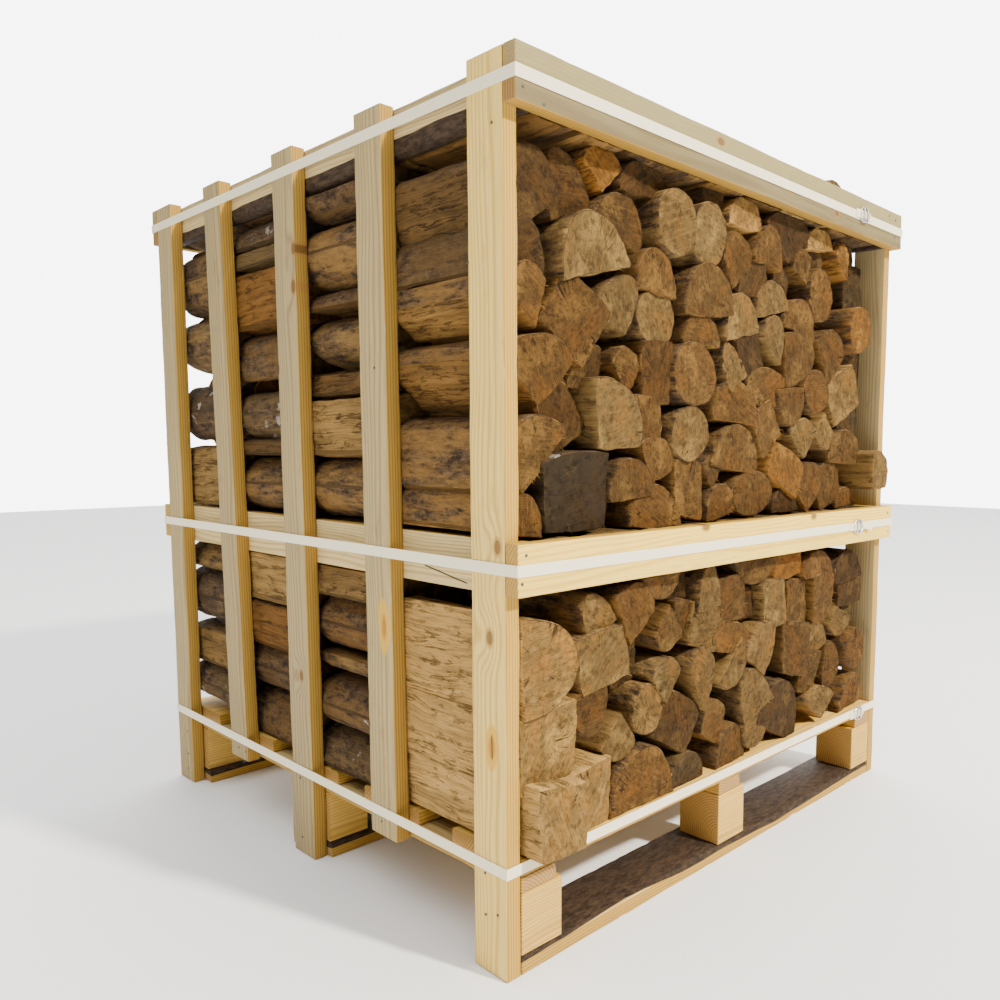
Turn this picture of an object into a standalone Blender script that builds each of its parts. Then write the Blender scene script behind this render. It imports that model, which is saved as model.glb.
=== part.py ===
"""Pallet crate with slatted sides, filled with four rows of split birch firewood."""
import math
import random

import bmesh
import bpy
from mathutils import Vector

# Sizes in metres. Positions are measured from the crate's front left corner at the floor,
# x to the right, y to the back, z up, and moved to the middle of the base when meshes are made.
CRATE_WIDTH = 1.0
CRATE_DEPTH = 1.0
CRATE_HEIGHT = 1.11
FRONT_REACH = 0.034
BACK_REACH = 0.0232
FIT_GAP = 0.0003

SLAT_WIDTH = 0.064
SLAT_THICKNESS = 0.022
SHORT_SLAT_FOOT = 0.104
SLAT_CENTRES_TOP = [0.032, 0.2753, 0.5105, 0.7608, 0.968]
SLAT_CENTRES_FOOT = [0.032, 0.2675, 0.4995, 0.7264, 0.968]
SHORT_SLATS = [1, 3]

BOARD_HEIGHT = 0.064
BOARD_THICKNESS = 0.022
MIDDLE_BOARD_FOOT = 0.485

RAIL_THICKNESS = 0.02
MIDDLE_RAIL_FOOT = 0.4795
MIDDLE_RAIL_TOP = 0.5485
TOP_RAIL_FOOT = 1.046
TOP_RAIL_TOP = 1.107

RUNNER_TOP = 0.024
RUNNER_WIDTH = 0.09
BLOCK_TOP = 0.107
BLOCK_LENGTH = 0.078
BLOCK_SPANS_X = {"left": (0.0235, 0.0945), "middle": (0.4485, 0.5215), "right": (0.9055, 0.9765)}
STRINGER_TOP = 0.128
STRINGER_SPANS_X = {"left": (0.0235, 0.084), "middle": (0.4485, 0.508), "right": (0.916, 0.9765)}
DECK_TOP = 0.149
DECK_BOARD_WIDTH = 0.14
DECK_BOARD_COUNT = 5

STRAP_WIDTH = 0.0145
STRAP_THICKNESS = 0.0009
TOP_STRAP_Z = 1.0765
MIDDLE_STRAP_Z = 0.517
BOTTOM_STRAP_Z = 0.1405

BUCKLE_WIRE = 0.0032
BUCKLE_LENGTH = 0.036
BUCKLE_HEIGHT = 0.027

LOG_LENGTH = 0.25
ROW_COUNT = 4
ROW_GAP = 0.0012
END_SPREAD = 0.02
END_CHAMFER = 0.008
CHAMFER_SHARE = 0.13
SIDE_SETBACK = 0.012
TOP_DROP = 0.028
LOG_SPACE_X = (SLAT_THICKNESS + 0.001, CRATE_WIDTH - SLAT_THICKNESS - 0.001)
RAIL_SPACE_X = (SLAT_THICKNESS + RAIL_THICKNESS + 0.001, CRATE_WIDTH - SLAT_THICKNESS - RAIL_THICKNESS - 0.001)
PILE_FOOT = DECK_TOP + 0.0005
PILE_TOP = 1.098
BAYS = [
    (LOG_SPACE_X, (PILE_FOOT, MIDDLE_RAIL_FOOT - 0.001)),
    (RAIL_SPACE_X, (MIDDLE_RAIL_FOOT - 0.001, MIDDLE_RAIL_TOP + 0.001)),
    (LOG_SPACE_X, (MIDDLE_RAIL_TOP + 0.001, TOP_RAIL_FOOT - 0.001)),
    (RAIL_SPACE_X, (TOP_RAIL_FOOT - 0.001, PILE_TOP)),
]

# The front row's log ends: centre x, centre z, width and height in centimetres, then how far
# the end stands out in front of the slats' edges, in millimetres. Named logs are solids of
# their own.
FRONT_LOGS = [
    (5.8, 97.0, 8.5, 10.5, -14, ""),
    (4.5, 90.5, 6.5, 6.0, -10, ""),
    (4.7, 84.0, 6.5, 7.8, -4, ""),
    (6.8, 75.8, 11.5, 9.0, -3, ""),
    (5.0, 66.5, 7.0, 9.0, -4, ""),
    (12.4, 82.4, 9.0, 7.8, -2, ""),
    (12.5, 99.5, 7.0, 8.5, -24, ""),
    (18.6, 102.0, 7.0, 6.0, -16, ""),
    (21.6, 96.4, 9.5, 6.2, -5, ""),
    (15.4, 92.2, 13.0, 7.5, -1, ""),
    (28.5, 90.5, 7.3, 6.1, -4, ""),
    (21.3, 85.7, 7.5, 6.8, -2, ""),
    (28.7, 84.2, 7.6, 7.6, -3, ""),
    (32.3, 97.6, 8.3, 8.8, 2, "twin_round_log_left"),
    (39.9, 97.2, 7.6, 9.2, 3, "twin_round_log_right"),
    (27.5, 102.7, 11.0, 5.0, -12, ""),
    (40.2, 89.4, 12.5, 7.0, 1, "wide_half_log"),
    (39.4, 83.8, 8.0, 4.7, -4, ""),
    (37.6, 77.0, 10.6, 9.3, -1, ""),
    (29.2, 76.8, 5.7, 8.0, -3, ""),
    (23.0, 76.3, 5.5, 7.0, -7, ""),
    (16.8, 76.9, 6.0, 5.5, -30, ""),
    (20.0, 69.6, 10.5, 10.0, 1, ""),
    (11.4, 70.2, 6.5, 7.5, -25, ""),
    (27.2, 69.8, 6.2, 6.4, -6, ""),
    (36.5, 68.2, 8.2, 7.8, 0, ""),
    (12.6, 60.3, 11.5, 9.2, -2, ""),
    (22.9, 61.8, 9.5, 5.2, -2, ""),
    (30.0, 64.0, 8.5, 6.8, -5, ""),
    (36.6, 60.2, 7.4, 8.0, -4, ""),
    (28.6, 57.8, 11.0, 6.0, -2, ""),
    (4.0, 58.0, 5.5, 5.0, -6, ""),
    (49.5, 66.4, 11.5, 7.4, -2, ""),
    (48.6, 73.6, 12.0, 6.5, -4, ""),
    (43.6, 62.6, 5.5, 5.5, -9, ""),
    (45.3, 58.0, 8.5, 4.8, -7, ""),
    (54.0, 58.8, 11.0, 7.0, -2, ""),
    (48.2, 96.0, 7.6, 7.5, -5, ""),
    (50.3, 102.6, 10.0, 5.0, -2, ""),
    (43.2, 103.6, 4.6, 3.6, -12, ""),
    (49.2, 86.7, 10.0, 6.4, 0, ""),
    (47.4, 79.4, 5.2, 7.0, 0, ""),
    (52.4, 81.0, 6.5, 7.0, -7, ""),
    (53.6, 93.4, 8.5, 6.3, -6, ""),
    (57.2, 98.8, 8.2, 6.2, -3, ""),
    (63.5, 101.0, 11.0, 8.2, -5, ""),
    (58.6, 90.6, 10.0, 5.2, -6, ""),
    (59.8, 85.0, 6.8, 6.5, -5, ""),
    (63.6, 94.0, 5.6, 4.6, -18, ""),
    (68.6, 88.4, 9.4, 6.4, -2, ""),
    (69.3, 97.2, 5.8, 6.0, -8, ""),
    (74.5, 93.0, 7.0, 8.8, -2, ""),
    (75.0, 103.0, 10.0, 4.0, -9, ""),
    (76.8, 99.0, 5.5, 5.0, -28, ""),
    (82.8, 99.8, 4.6, 7.0, -6, ""),
    (88.3, 102.0, 7.0, 6.0, -34, ""),
    (67.6, 81.7, 9.2, 9.0, -1, ""),
    (78.5, 82.7, 10.4, 9.6, -2, ""),
    (58.0, 76.0, 12.6, 6.4, -2, ""),
    (65.2, 73.2, 9.4, 6.4, -4, ""),
    (73.5, 76.2, 8.4, 7.2, -2, ""),
    (83.0, 75.8, 8.8, 7.8, 0, ""),
    (88.8, 80.4, 6.5, 6.5, -30, ""),
    (88.5, 88.3, 9.2, 8.2, 3, "right_round_log"),
    (93.0, 96.5, 7.5, 9.5, -40, ""),
    (57.8, 69.2, 7.2, 7.0, -5, ""),
    (70.2, 68.0, 8.4, 6.8, -2, ""),
    (77.6, 69.4, 7.6, 6.4, -5, ""),
    (84.5, 66.5, 12.2, 6.0, -2, ""),
    (63.3, 62.7, 10.0, 6.0, 0, ""),
    (72.0, 60.6, 8.2, 7.8, -4, ""),
    (80.0, 59.6, 8.3, 7.2, -7, ""),
    (91.6, 61.3, 9.0, 7.6, 34, "leaning_log"),
    (90.2, 71.6, 7.0, 6.6, -30, ""),
    (64.8, 57.3, 9.5, 4.2, -8, ""),
    (87.0, 57.0, 6.5, 3.6, -6, ""),
    (95.4, 80.0, 4.5, 13.0, -45, ""),
    (7.1, 38.8, 9.0, 12.0, 6, "big_half_log"),
    (6.9, 28.6, 9.4, 9.0, 2, "squared_log"),
    (6.9, 19.4, 7.4, 8.8, 30, "overhanging_log"),
    (14.8, 19.4, 7.6, 9.0, 2, "cut_post_log"),
    (17.6, 37.7, 8.6, 7.8, -2, ""),
    (16.6, 44.2, 6.0, 6.5, -5, ""),
    (24.0, 43.0, 8.2, 8.8, -3, ""),
    (15.8, 30.8, 8.0, 6.5, -6, ""),
    (21.6, 25.6, 7.6, 6.8, -5, ""),
    (26.0, 19.3, 13.2, 8.6, 0, "broad_half_log"),
    (27.4, 28.6, 5.9, 7.0, -1, ""),
    (31.6, 32.2, 7.6, 6.4, -3, ""),
    (34.4, 25.0, 8.4, 7.6, -4, ""),
    (37.0, 17.4, 8.6, 4.8, -5, ""),
    (40.6, 30.6, 6.8, 9.6, -2, ""),
    (44.7, 22.2, 7.4, 8.2, -5, ""),
    (49.0, 18.0, 9.4, 6.0, -3, ""),
    (49.9, 30.6, 9.4, 5.0, -3, ""),
    (48.6, 35.8, 10.0, 5.0, -5, ""),
    (41.9, 38.6, 7.0, 6.6, -4, ""),
    (42.8, 44.8, 5.9, 7.2, -2, ""),
    (32.2, 39.6, 5.8, 7.0, -4, ""),
    (30.5, 46.3, 8.6, 4.0, -5, ""),
    (25.5, 35.2, 5.0, 6.0, -32, ""),
    (36.9, 45.6, 4.6, 4.2, -26, ""),
    (37.0, 40.2, 3.8, 6.0, -20, ""),
    (49.0, 42.0, 6.8, 6.8, -4, ""),
    (55.8, 46.0, 10.6, 4.6, -4, ""),
    (65.3, 46.0, 8.6, 4.2, -6, ""),
    (55.2, 40.2, 4.6, 5.0, -26, ""),
    (61.3, 39.6, 6.3, 7.6, -2, ""),
    (57.8, 33.2, 8.8, 8.0, -3, ""),
    (69.2, 38.8, 6.2, 7.4, -3, ""),
    (77.6, 38.8, 7.2, 8.4, -1, ""),
    (75.7, 45.3, 10.6, 4.8, -3, ""),
    (88.2, 43.8, 10.6, 6.0, -8, ""),
    (90.6, 38.4, 9.0, 5.4, -14, ""),
    (86.0, 33.2, 7.6, 6.2, -6, ""),
    (76.4, 31.6, 6.2, 5.8, -2, ""),
    (69.0, 30.4, 7.6, 8.4, -4, ""),
    (55.0, 25.4, 8.8, 7.4, -3, ""),
    (55.6, 19.0, 6.8, 6.2, 0, ""),
    (64.8, 20.6, 12.0, 9.0, -6, ""),
    (74.6, 25.4, 4.8, 7.4, -4, ""),
    (82.4, 25.0, 5.8, 9.4, -2, ""),
    (78.8, 28.2, 4.0, 5.0, -18, ""),
    (77.6, 18.8, 9.6, 6.4, 0, ""),
    (91.0, 27.0, 8.2, 7.8, -1, "low_round_log"),
    (90.8, 18.8, 9.6, 6.6, -1, ""),
    (94.6, 34.0, 4.0, 5.0, -36, ""),
]

# The logs at the left side of the rows behind the front one, from the top down: centre z,
# width and height in centimetres.
SIDE_LOGS = {
    1: [
        (102.4, 8.5, 3.4),
        (95.4, 9.5, 9.4),
        (88.6, 7.5, 3.2),
        (82.4, 9.0, 8.4),
        (75.6, 7.5, 3.2),
        (69.2, 9.0, 8.2),
        (60.0, 10.0, 9.4),
        (45.6, 8.0, 4.4),
        (38.5, 9.5, 8.8),
        (31.8, 8.0, 3.6),
        (25.4, 9.0, 8.4),
        (18.0, 8.5, 5.2),
    ],
    2: [
        (101.8, 9.0, 4.8),
        (97.9, 7.5, 2.8),
        (90.8, 9.5, 9.6),
        (81.0, 9.5, 9.6),
        (71.6, 9.0, 8.8),
        (66.1, 7.5, 2.4),
        (59.8, 10.0, 9.0),
        (43.6, 9.0, 8.0),
        (35.8, 9.0, 7.4),
        (27.3, 10.0, 9.2),
        (18.6, 9.0, 7.4),
    ],
    3: [
        (97.0, 10.0, 11.4),
        (85.8, 9.0, 10.4),
        (72.6, 9.5, 10.6),
        (61.0, 9.5, 10.4),
        (45.2, 8.0, 4.4),
        (37.2, 10.0, 10.4),
        (27.6, 8.5, 7.0),
        (19.8, 8.5, 7.6),
    ],
}
SIDE_REACH = 0.09

# A half-round log lying on top of the pile, behind the front top board.
TOP_LOG_CENTRE_X = 0.775
TOP_LOG_WIDTH = 0.094
TOP_LOG_HEIGHT = 0.038
TOP_LOG_SPAN_Y = (0.004, 0.246)

# Height of a course of logs and distance between logs, for each row from front to back.
COURSE_HEIGHTS = [0.09, 0.1, 0.1, 0.095]
LOG_PITCHES = [0.1, 0.122, 0.122, 0.108]


def clear_scene():
    """Remove whatever the new file holds."""
    for thing in list(bpy.data.objects):
        bpy.data.objects.remove(thing)


def finish(name, colour, metallic=0.0, roughness=0.8):
    """A plain material of one colour."""
    material = bpy.data.materials.new(name)
    material.use_nodes = True
    shader = material.node_tree.nodes["Principled BSDF"]
    shader.inputs["Base Color"].default_value = (*colour, 1.0)
    shader.inputs["Metallic"].default_value = metallic
    shader.inputs["Roughness"].default_value = roughness
    return material


def add_piece(name, points, faces, material):
    """One named solid from points in crate measures and its faces."""
    middle_y = (CRATE_DEPTH + BACK_REACH - FRONT_REACH) / 2
    shift = Vector((-CRATE_WIDTH / 2, -middle_y, 0.0))
    mesh = bpy.data.meshes.new(name)
    mesh.from_pydata([Vector(point) + shift for point in points], [], faces)
    mesh.validate()
    form = bmesh.new()
    form.from_mesh(mesh)
    bmesh.ops.recalc_face_normals(form, faces=form.faces)
    form.to_mesh(mesh)
    form.free()
    mesh.materials.append(material)
    piece = bpy.data.objects.new(name, mesh)
    bpy.context.scene.collection.objects.link(piece)
    return piece


def box(name, span_x, span_y, span_z, material):
    """A squared timber between three pairs of limits."""
    points = [(x, y, z) for x in span_x for y in span_y for z in span_z]
    faces = [(0, 1, 3, 2), (4, 6, 7, 5), (0, 4, 5, 1), (2, 3, 7, 6), (0, 2, 6, 4), (1, 5, 7, 3)]
    return add_piece(name, points, faces, material)


def slat(name, span_x, foot, top, centre_foot, centre_top, material):
    """An upright slat whose foot and top may stand a little out of line."""
    half = SLAT_WIDTH / 2
    points = []
    for x in span_x:
        for side in (-half, half):
            points.append((x, centre_foot + side, foot))
            points.append((x, centre_top + side, top))
    faces = [(0, 1, 3, 2), (4, 6, 7, 5), (0, 4, 5, 1), (2, 3, 7, 6), (0, 2, 6, 4), (1, 5, 7, 3)]
    return add_piece(name, points, faces, material)


def build_sides(pine):
    """Five slats and two rails on each side."""
    sides = {
        "left": ((0.0, SLAT_THICKNESS), (SLAT_THICKNESS + FIT_GAP, SLAT_THICKNESS + RAIL_THICKNESS)),
        "right": (
            (CRATE_WIDTH - SLAT_THICKNESS, CRATE_WIDTH),
            (CRATE_WIDTH - SLAT_THICKNESS - RAIL_THICKNESS, CRATE_WIDTH - SLAT_THICKNESS - FIT_GAP),
        ),
    }
    for side, (slat_span, rail_span) in sides.items():
        for index in range(len(SLAT_CENTRES_TOP)):
            foot = SHORT_SLAT_FOOT if index in SHORT_SLATS else 0.0
            slat(
                f"{side}_slat_{index + 1}",
                slat_span,
                foot,
                CRATE_HEIGHT,
                SLAT_CENTRES_FOOT[index],
                SLAT_CENTRES_TOP[index],
                pine,
            )
        length = (FIT_GAP, CRATE_DEPTH - FIT_GAP)
        box(f"{side}_middle_rail", rail_span, length, (MIDDLE_RAIL_FOOT, MIDDLE_RAIL_TOP), pine)
        box(f"{side}_top_rail", rail_span, length, (TOP_RAIL_FOOT, TOP_RAIL_TOP), pine)


def build_cross_boards(pine):
    """The boards nailed across the open front and back."""
    spans = {
        "front": (-BOARD_THICKNESS, -FIT_GAP),
        "back": (CRATE_DEPTH + FIT_GAP, CRATE_DEPTH + BOARD_THICKNESS),
    }
    for end, span_y in spans.items():
        middle = (MIDDLE_BOARD_FOOT, MIDDLE_BOARD_FOOT + BOARD_HEIGHT)
        top = (CRATE_HEIGHT - BOARD_HEIGHT, CRATE_HEIGHT)
        box(f"{end}_middle_board", (0.0, CRATE_WIDTH), span_y, middle, pine)
        box(f"{end}_top_board", (0.0, CRATE_WIDTH), span_y, top, pine)


def build_pallet(pallet_pine):
    """Runners, blocks, stringers and deck boards, from the floor up."""
    inner = (SLAT_THICKNESS + 0.0015, CRATE_WIDTH - SLAT_THICKNESS - 0.0015)
    half = CRATE_DEPTH / 2
    runner_spans = {
        "front": (0.0, RUNNER_WIDTH),
        "middle": (half - RUNNER_WIDTH / 2, half + RUNNER_WIDTH / 2),
        "back": (CRATE_DEPTH - RUNNER_WIDTH, CRATE_DEPTH),
    }
    block_spans = {
        "front": (0.0, BLOCK_LENGTH),
        "middle": (half - BLOCK_LENGTH / 2, half + BLOCK_LENGTH / 2),
        "back": (CRATE_DEPTH - BLOCK_LENGTH, CRATE_DEPTH),
    }
    for place, span_y in runner_spans.items():
        box(f"{place}_runner", inner, span_y, (0.0, RUNNER_TOP), pallet_pine)
    for place, span_y in block_spans.items():
        for side, span_x in BLOCK_SPANS_X.items():
            span_z = (RUNNER_TOP + FIT_GAP, BLOCK_TOP)
            box(f"{place}_{side}_block", span_x, span_y, span_z, pallet_pine)
    for side, span_x in STRINGER_SPANS_X.items():
        box(f"{side}_stringer", span_x, (0.0, CRATE_DEPTH), (BLOCK_TOP + FIT_GAP, STRINGER_TOP), pallet_pine)
    step = (CRATE_DEPTH - DECK_BOARD_WIDTH) / (DECK_BOARD_COUNT - 1)
    for index in range(DECK_BOARD_COUNT):
        start = index * step
        span_y = (start, start + DECK_BOARD_WIDTH)
        box(f"deck_board_{index + 1}", inner, span_y, (STRINGER_TOP + FIT_GAP, DECK_TOP), pallet_pine)


def strap(name, reach_y, height, plastic):
    """A closed level band around the crate, lying reach_y in front of and behind the slats."""
    points = []
    for offset in (FIT_GAP, FIT_GAP + STRAP_THICKNESS):
        near = -reach_y - offset
        far = CRATE_DEPTH + reach_y + offset
        corners = [(-offset, near), (CRATE_WIDTH + offset, near), (CRATE_WIDTH + offset, far), (-offset, far)]
        for side in (-STRAP_WIDTH / 2, STRAP_WIDTH / 2):
            points += [(x, y, height + side) for x, y in corners]
    rings = [0, 8, 12, 4]
    faces = []
    for index, ring in enumerate(rings):
        next_ring = rings[(index + 1) % len(rings)]
        for corner in range(4):
            after = (corner + 1) % 4
            faces.append((ring + corner, ring + after, next_ring + after, next_ring + corner))
    add_piece(name, points, faces, plastic)


def build_straps(plastic):
    """Three straps: two over the cross boards, and one low over the slats."""
    strap("top_strap", BOARD_THICKNESS, TOP_STRAP_Z, plastic)
    strap("middle_strap", BOARD_THICKNESS, MIDDLE_STRAP_Z, plastic)
    strap("bottom_strap", 0.0, BOTTOM_STRAP_Z, plastic)


def wire_buckle(name, centre_x, front_y, centre_z, steel):
    """A closed loop of bent wire lying on the strap, with rounded ends."""
    radius = BUCKLE_WIRE / 2
    end_radius = BUCKLE_HEIGHT / 2 - radius
    straight = BUCKLE_LENGTH / 2 - radius - end_radius
    steps = 8
    sides = 8
    path = []
    for end_sign in (1, -1):
        for step in range(steps + 1):
            angle = -math.pi / 2 + math.pi * step / steps
            outward = Vector((math.cos(angle), 0.0, math.sin(angle)))
            if end_sign < 0:
                outward = Vector((-outward.x, 0.0, -outward.z))
            middle = Vector((end_sign * straight, 0.0, 0.0)) + outward * end_radius
            path.append((middle, outward))
    centre = Vector((centre_x, front_y - FIT_GAP - radius, centre_z))
    points = []
    for middle, outward in path:
        for side in range(sides):
            turn = 2 * math.pi * (side + 0.5) / sides
            offset = outward * math.cos(turn) * radius + Vector((0.0, math.sin(turn) * radius, 0.0))
            points.append(centre + middle + offset)
    faces = []
    for ring in range(len(path)):
        here = ring * sides
        there = ((ring + 1) % len(path)) * sides
        for side in range(sides):
            after = (side + 1) % sides
            faces.append((here + side, here + after, there + after, there + side))
    piece = add_piece(name, points, faces, steel)
    piece.data.shade_smooth()


def build_buckles(steel):
    """One buckle on each strap, near the right end of the front."""
    on_board = -BOARD_THICKNESS - FIT_GAP - STRAP_THICKNESS
    on_deck = -FIT_GAP - STRAP_THICKNESS
    wire_buckle("top_buckle", 0.838, on_board, TOP_STRAP_Z + 0.003, steel)
    wire_buckle("middle_buckle", 0.852, on_board, MIDDLE_STRAP_Z - 0.001, steel)
    wire_buckle("bottom_buckle", 0.923, on_deck, BOTTOM_STRAP_Z - 0.004, steel)


def clip(polygon, normal, limit):
    """The part of a convex outline where its points' product with normal is at most limit."""
    kept = []
    for index, here in enumerate(polygon):
        there = polygon[(index + 1) % len(polygon)]
        side_here = here[0] * normal[0] + here[1] * normal[1] - limit
        side_there = there[0] * normal[0] + there[1] * normal[1] - limit
        if side_here <= 0:
            kept.append(here)
        if (side_here < 0 < side_there) or (side_there < 0 < side_here):
            share = side_here / (side_here - side_there)
            kept.append((here[0] + share * (there[0] - here[0]), here[1] + share * (there[1] - here[1])))
    return kept


def log_cells(bay, seeds, chance):
    """Share a bay between log centres: each log gets the outline nearest to it for its size."""
    (x_low, x_high), (z_low, z_high) = bay
    cells = []
    for x, z, size in seeds:
        outline = [(x_low, z_low), (x_high, z_low), (x_high, z_high), (x_low, z_high)]
        for other_x, other_z, other_size in seeds:
            if (other_x, other_z) == (x, z):
                continue
            normal = (2 * (other_x - x), 2 * (other_z - z))
            limit = other_x**2 + other_z**2 - other_size**2 - x**2 - z**2 + size**2
            outline = clip(outline, normal, limit)
            if not outline:
                break
        outline = clip(outline, (-1.0, 0.0), -x_low - chance.uniform(0.0, SIDE_SETBACK))
        outline = clip(outline, (1.0, 0.0), x_high - chance.uniform(0.0, SIDE_SETBACK))
        under_top_log = abs(x - TOP_LOG_CENTRE_X) < TOP_LOG_WIDTH
        if z_high == PILE_TOP and not under_top_log:
            outline = clip(outline, (0.0, 1.0), z_high - chance.uniform(0.0, TOP_DROP))
        cells.append([(round(px, 5), round(pz, 5)) for px, pz in outline])
    return cells


def tidy_outline(outline):
    """Drop points that repeat their neighbour."""
    kept = []
    for point in outline:
        if not kept or math.dist(point, kept[-1]) > 1e-5:
            kept.append(point)
    while len(kept) > 1 and math.dist(kept[0], kept[-1]) <= 1e-5:
        kept.pop()
    return kept


def merge_close_corners(cells, reach):
    """Give corners of neighbouring outlines that nearly meet one shared place."""
    places = []

    def shared(point):
        for place in places:
            if math.dist(place, point) < reach:
                return place
        places.append(point)
        return point

    return [tidy_outline([shared(point) for point in outline]) for outline in cells]


def course_seeds(bay, row, chance):
    """Log centres laid in courses, with sizes that vary from log to log."""
    (x_low, x_high), (z_low, z_high) = bay
    courses = max(1, round((z_high - z_low) / COURSE_HEIGHTS[row]))
    height = (z_high - z_low) / courses
    seeds = []
    for course in range(courses):
        count = round((x_high - x_low) / (LOG_PITCHES[row] * chance.uniform(0.92, 1.12)))
        pitch = (x_high - x_low) / count
        for place in range(count):
            x = x_low + (place + 0.5 + chance.uniform(-0.2, 0.2)) * pitch
            z = z_low + (course + 0.5) * height
            if courses > 1:
                z += chance.uniform(-0.16, 0.16) * height
            seeds.append((x, z, chance.uniform(0.03, 0.052)))
    return seeds


def put_side_logs(bay, row, seeds, details):
    """Swap the logs nearest the left side for the ones that show there, bar beside a rail."""
    (x_low, x_high), (z_low, z_high) = bay
    if row not in SIDE_LOGS or x_low != LOG_SPACE_X[0]:
        return seeds, details
    kept = [index for index, seed in enumerate(seeds) if seed[0] > SIDE_REACH]
    seeds = [seeds[index] for index in kept]
    details = [details[index] for index in kept]
    for z, width, height in SIDE_LOGS[row]:
        if z_low <= z / 100 <= z_high:
            seeds.append((x_low + width / 200, z / 100, math.sqrt(width * height) / 200))
            details.append((None, ""))
    return seeds, details


def measured_seeds(bay, turned_over):
    """The measured log ends that lie in a bay, with how far they stand out and their names.

    Turned over, the same sizes are stacked from the top of the bay down, for the back row.
    """
    z_low, z_high = bay[1]
    seeds = []
    details = []
    for x, z, width, height, out, name in FRONT_LOGS:
        if z_low <= z / 100 <= z_high:
            height_in_bay = z_low + z_high - z / 100 if turned_over else z / 100
            seeds.append((x / 100, height_in_bay, math.sqrt(width * height) / 200))
            details.append((None, "") if turned_over else (out / 1000, name))
    return seeds, details


def split_edges(cells):
    """Add to each outline the corners of its neighbours that lie on its edges."""
    corners = sorted({point for outline in cells for point in outline})
    finished = []
    for outline in cells:
        full = []
        for index, here in enumerate(outline):
            there = outline[(index + 1) % len(outline)]
            full.append(here)
            length = math.dist(here, there)
            between = []
            for corner in corners:
                if corner in (here, there):
                    continue
                along = (corner[0] - here[0]) * (there[0] - here[0]) + (corner[1] - here[1]) * (there[1] - here[1])
                share = along / length**2
                if not 0 < share < 1:
                    continue
                foot = (here[0] + share * (there[0] - here[0]), here[1] + share * (there[1] - here[1]))
                if math.dist(foot, corner) < 3e-5:
                    between.append((share, corner))
            full += [corner for share, corner in sorted(between)]
        finished.append(full)
    return finished


def wall_strip(here, there, start, end, levels):
    """Triangles of a wall between two corners, with every level that other logs need there."""
    near = [start] + [level for level in levels[here] if start < level < end] + [end]
    far = [start] + [level for level in levels[there] if start < level < end] + [end]
    triangles = []
    i = 0
    j = 0
    while i < len(near) - 1 or j < len(far) - 1:
        step_near = i < len(near) - 1 and (j == len(far) - 1 or near[i + 1] <= far[j + 1])
        if step_near:
            triangles.append(((here, near[i]), (there, far[j]), (here, near[i + 1])))
            i += 1
        else:
            triangles.append(((here, near[i]), (there, far[j]), (there, far[j + 1])))
            j += 1
    return triangles


def toward_middle(outline, middle, share):
    """An outline drawn in towards its middle."""
    return [(x + (middle[0] - x) * share, z + (middle[1] - z) * share) for x, z in outline]


def row_solid(name, cells, chamfers, material):
    """A row of logs that touch each other, as one body: every log keeps its own two ends.

    The ends at the front and at the back of the row are cut in around their edges by the two
    chamfers, so that the logs can be told apart; a chamfer of nothing leaves the end flat.
    """
    outlines = split_edges([outline for outline, front, back in cells])
    fronts = [front + chamfers[0] for outline, front, back in cells]
    backs = [back - chamfers[1] for outline, front, back in cells]
    levels = {}
    owner = {}
    for index, outline in enumerate(outlines):
        for corner, point in enumerate(outline):
            levels.setdefault(point, set()).update((fronts[index], backs[index]))
            owner[(point, outline[(corner + 1) % len(outline)])] = index
    levels = {point: sorted(values) for point, values in levels.items()}
    points = []
    numbers = {}

    def number(point, level):
        key = (point, level)
        if key not in numbers:
            numbers[key] = len(points)
            points.append((point[0], level, point[1]))
        return numbers[key]

    faces = []
    for index, outline in enumerate(outlines):
        count = len(outline)
        middle = (sum(point[0] for point in outline) / count, sum(point[1] for point in outline) / count)
        for level, chamfer, outward in ((fronts[index], chamfers[0], -1), (backs[index], chamfers[1], 1)):
            rim = [number(point, level) for point in outline]
            if chamfer:
                inner = len(points)
                drawn_in = toward_middle(outline, middle, CHAMFER_SHARE)
                points.extend((x, level + outward * chamfer, z) for x, z in drawn_in)
                for corner in range(count):
                    after = (corner + 1) % count
                    faces.append((rim[corner], rim[after], inner + after))
                    faces.append((rim[corner], inner + after, inner + corner))
                rim = list(range(inner, inner + count))
            centre = len(points)
            points.append((middle[0], level + outward * chamfer, middle[1]))
            for corner in range(count):
                faces.append((centre, rim[corner], rim[(corner + 1) % count]))
        for corner, point in enumerate(outline):
            after = outline[(corner + 1) % len(outline)]
            neighbour = owner.get((after, point))
            if neighbour is None:
                stretches = [(fronts[index], backs[index])]
            else:
                stretches = []
                if fronts[index] < fronts[neighbour]:
                    stretches.append((fronts[index], fronts[neighbour]))
                if backs[index] > backs[neighbour]:
                    stretches.append((backs[neighbour], backs[index]))
            for start, end in stretches:
                for triangle in wall_strip(point, after, start, end, levels):
                    faces.append(tuple(number(place, level) for place, level in triangle))
    return add_piece(name, points, faces, material)


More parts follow.
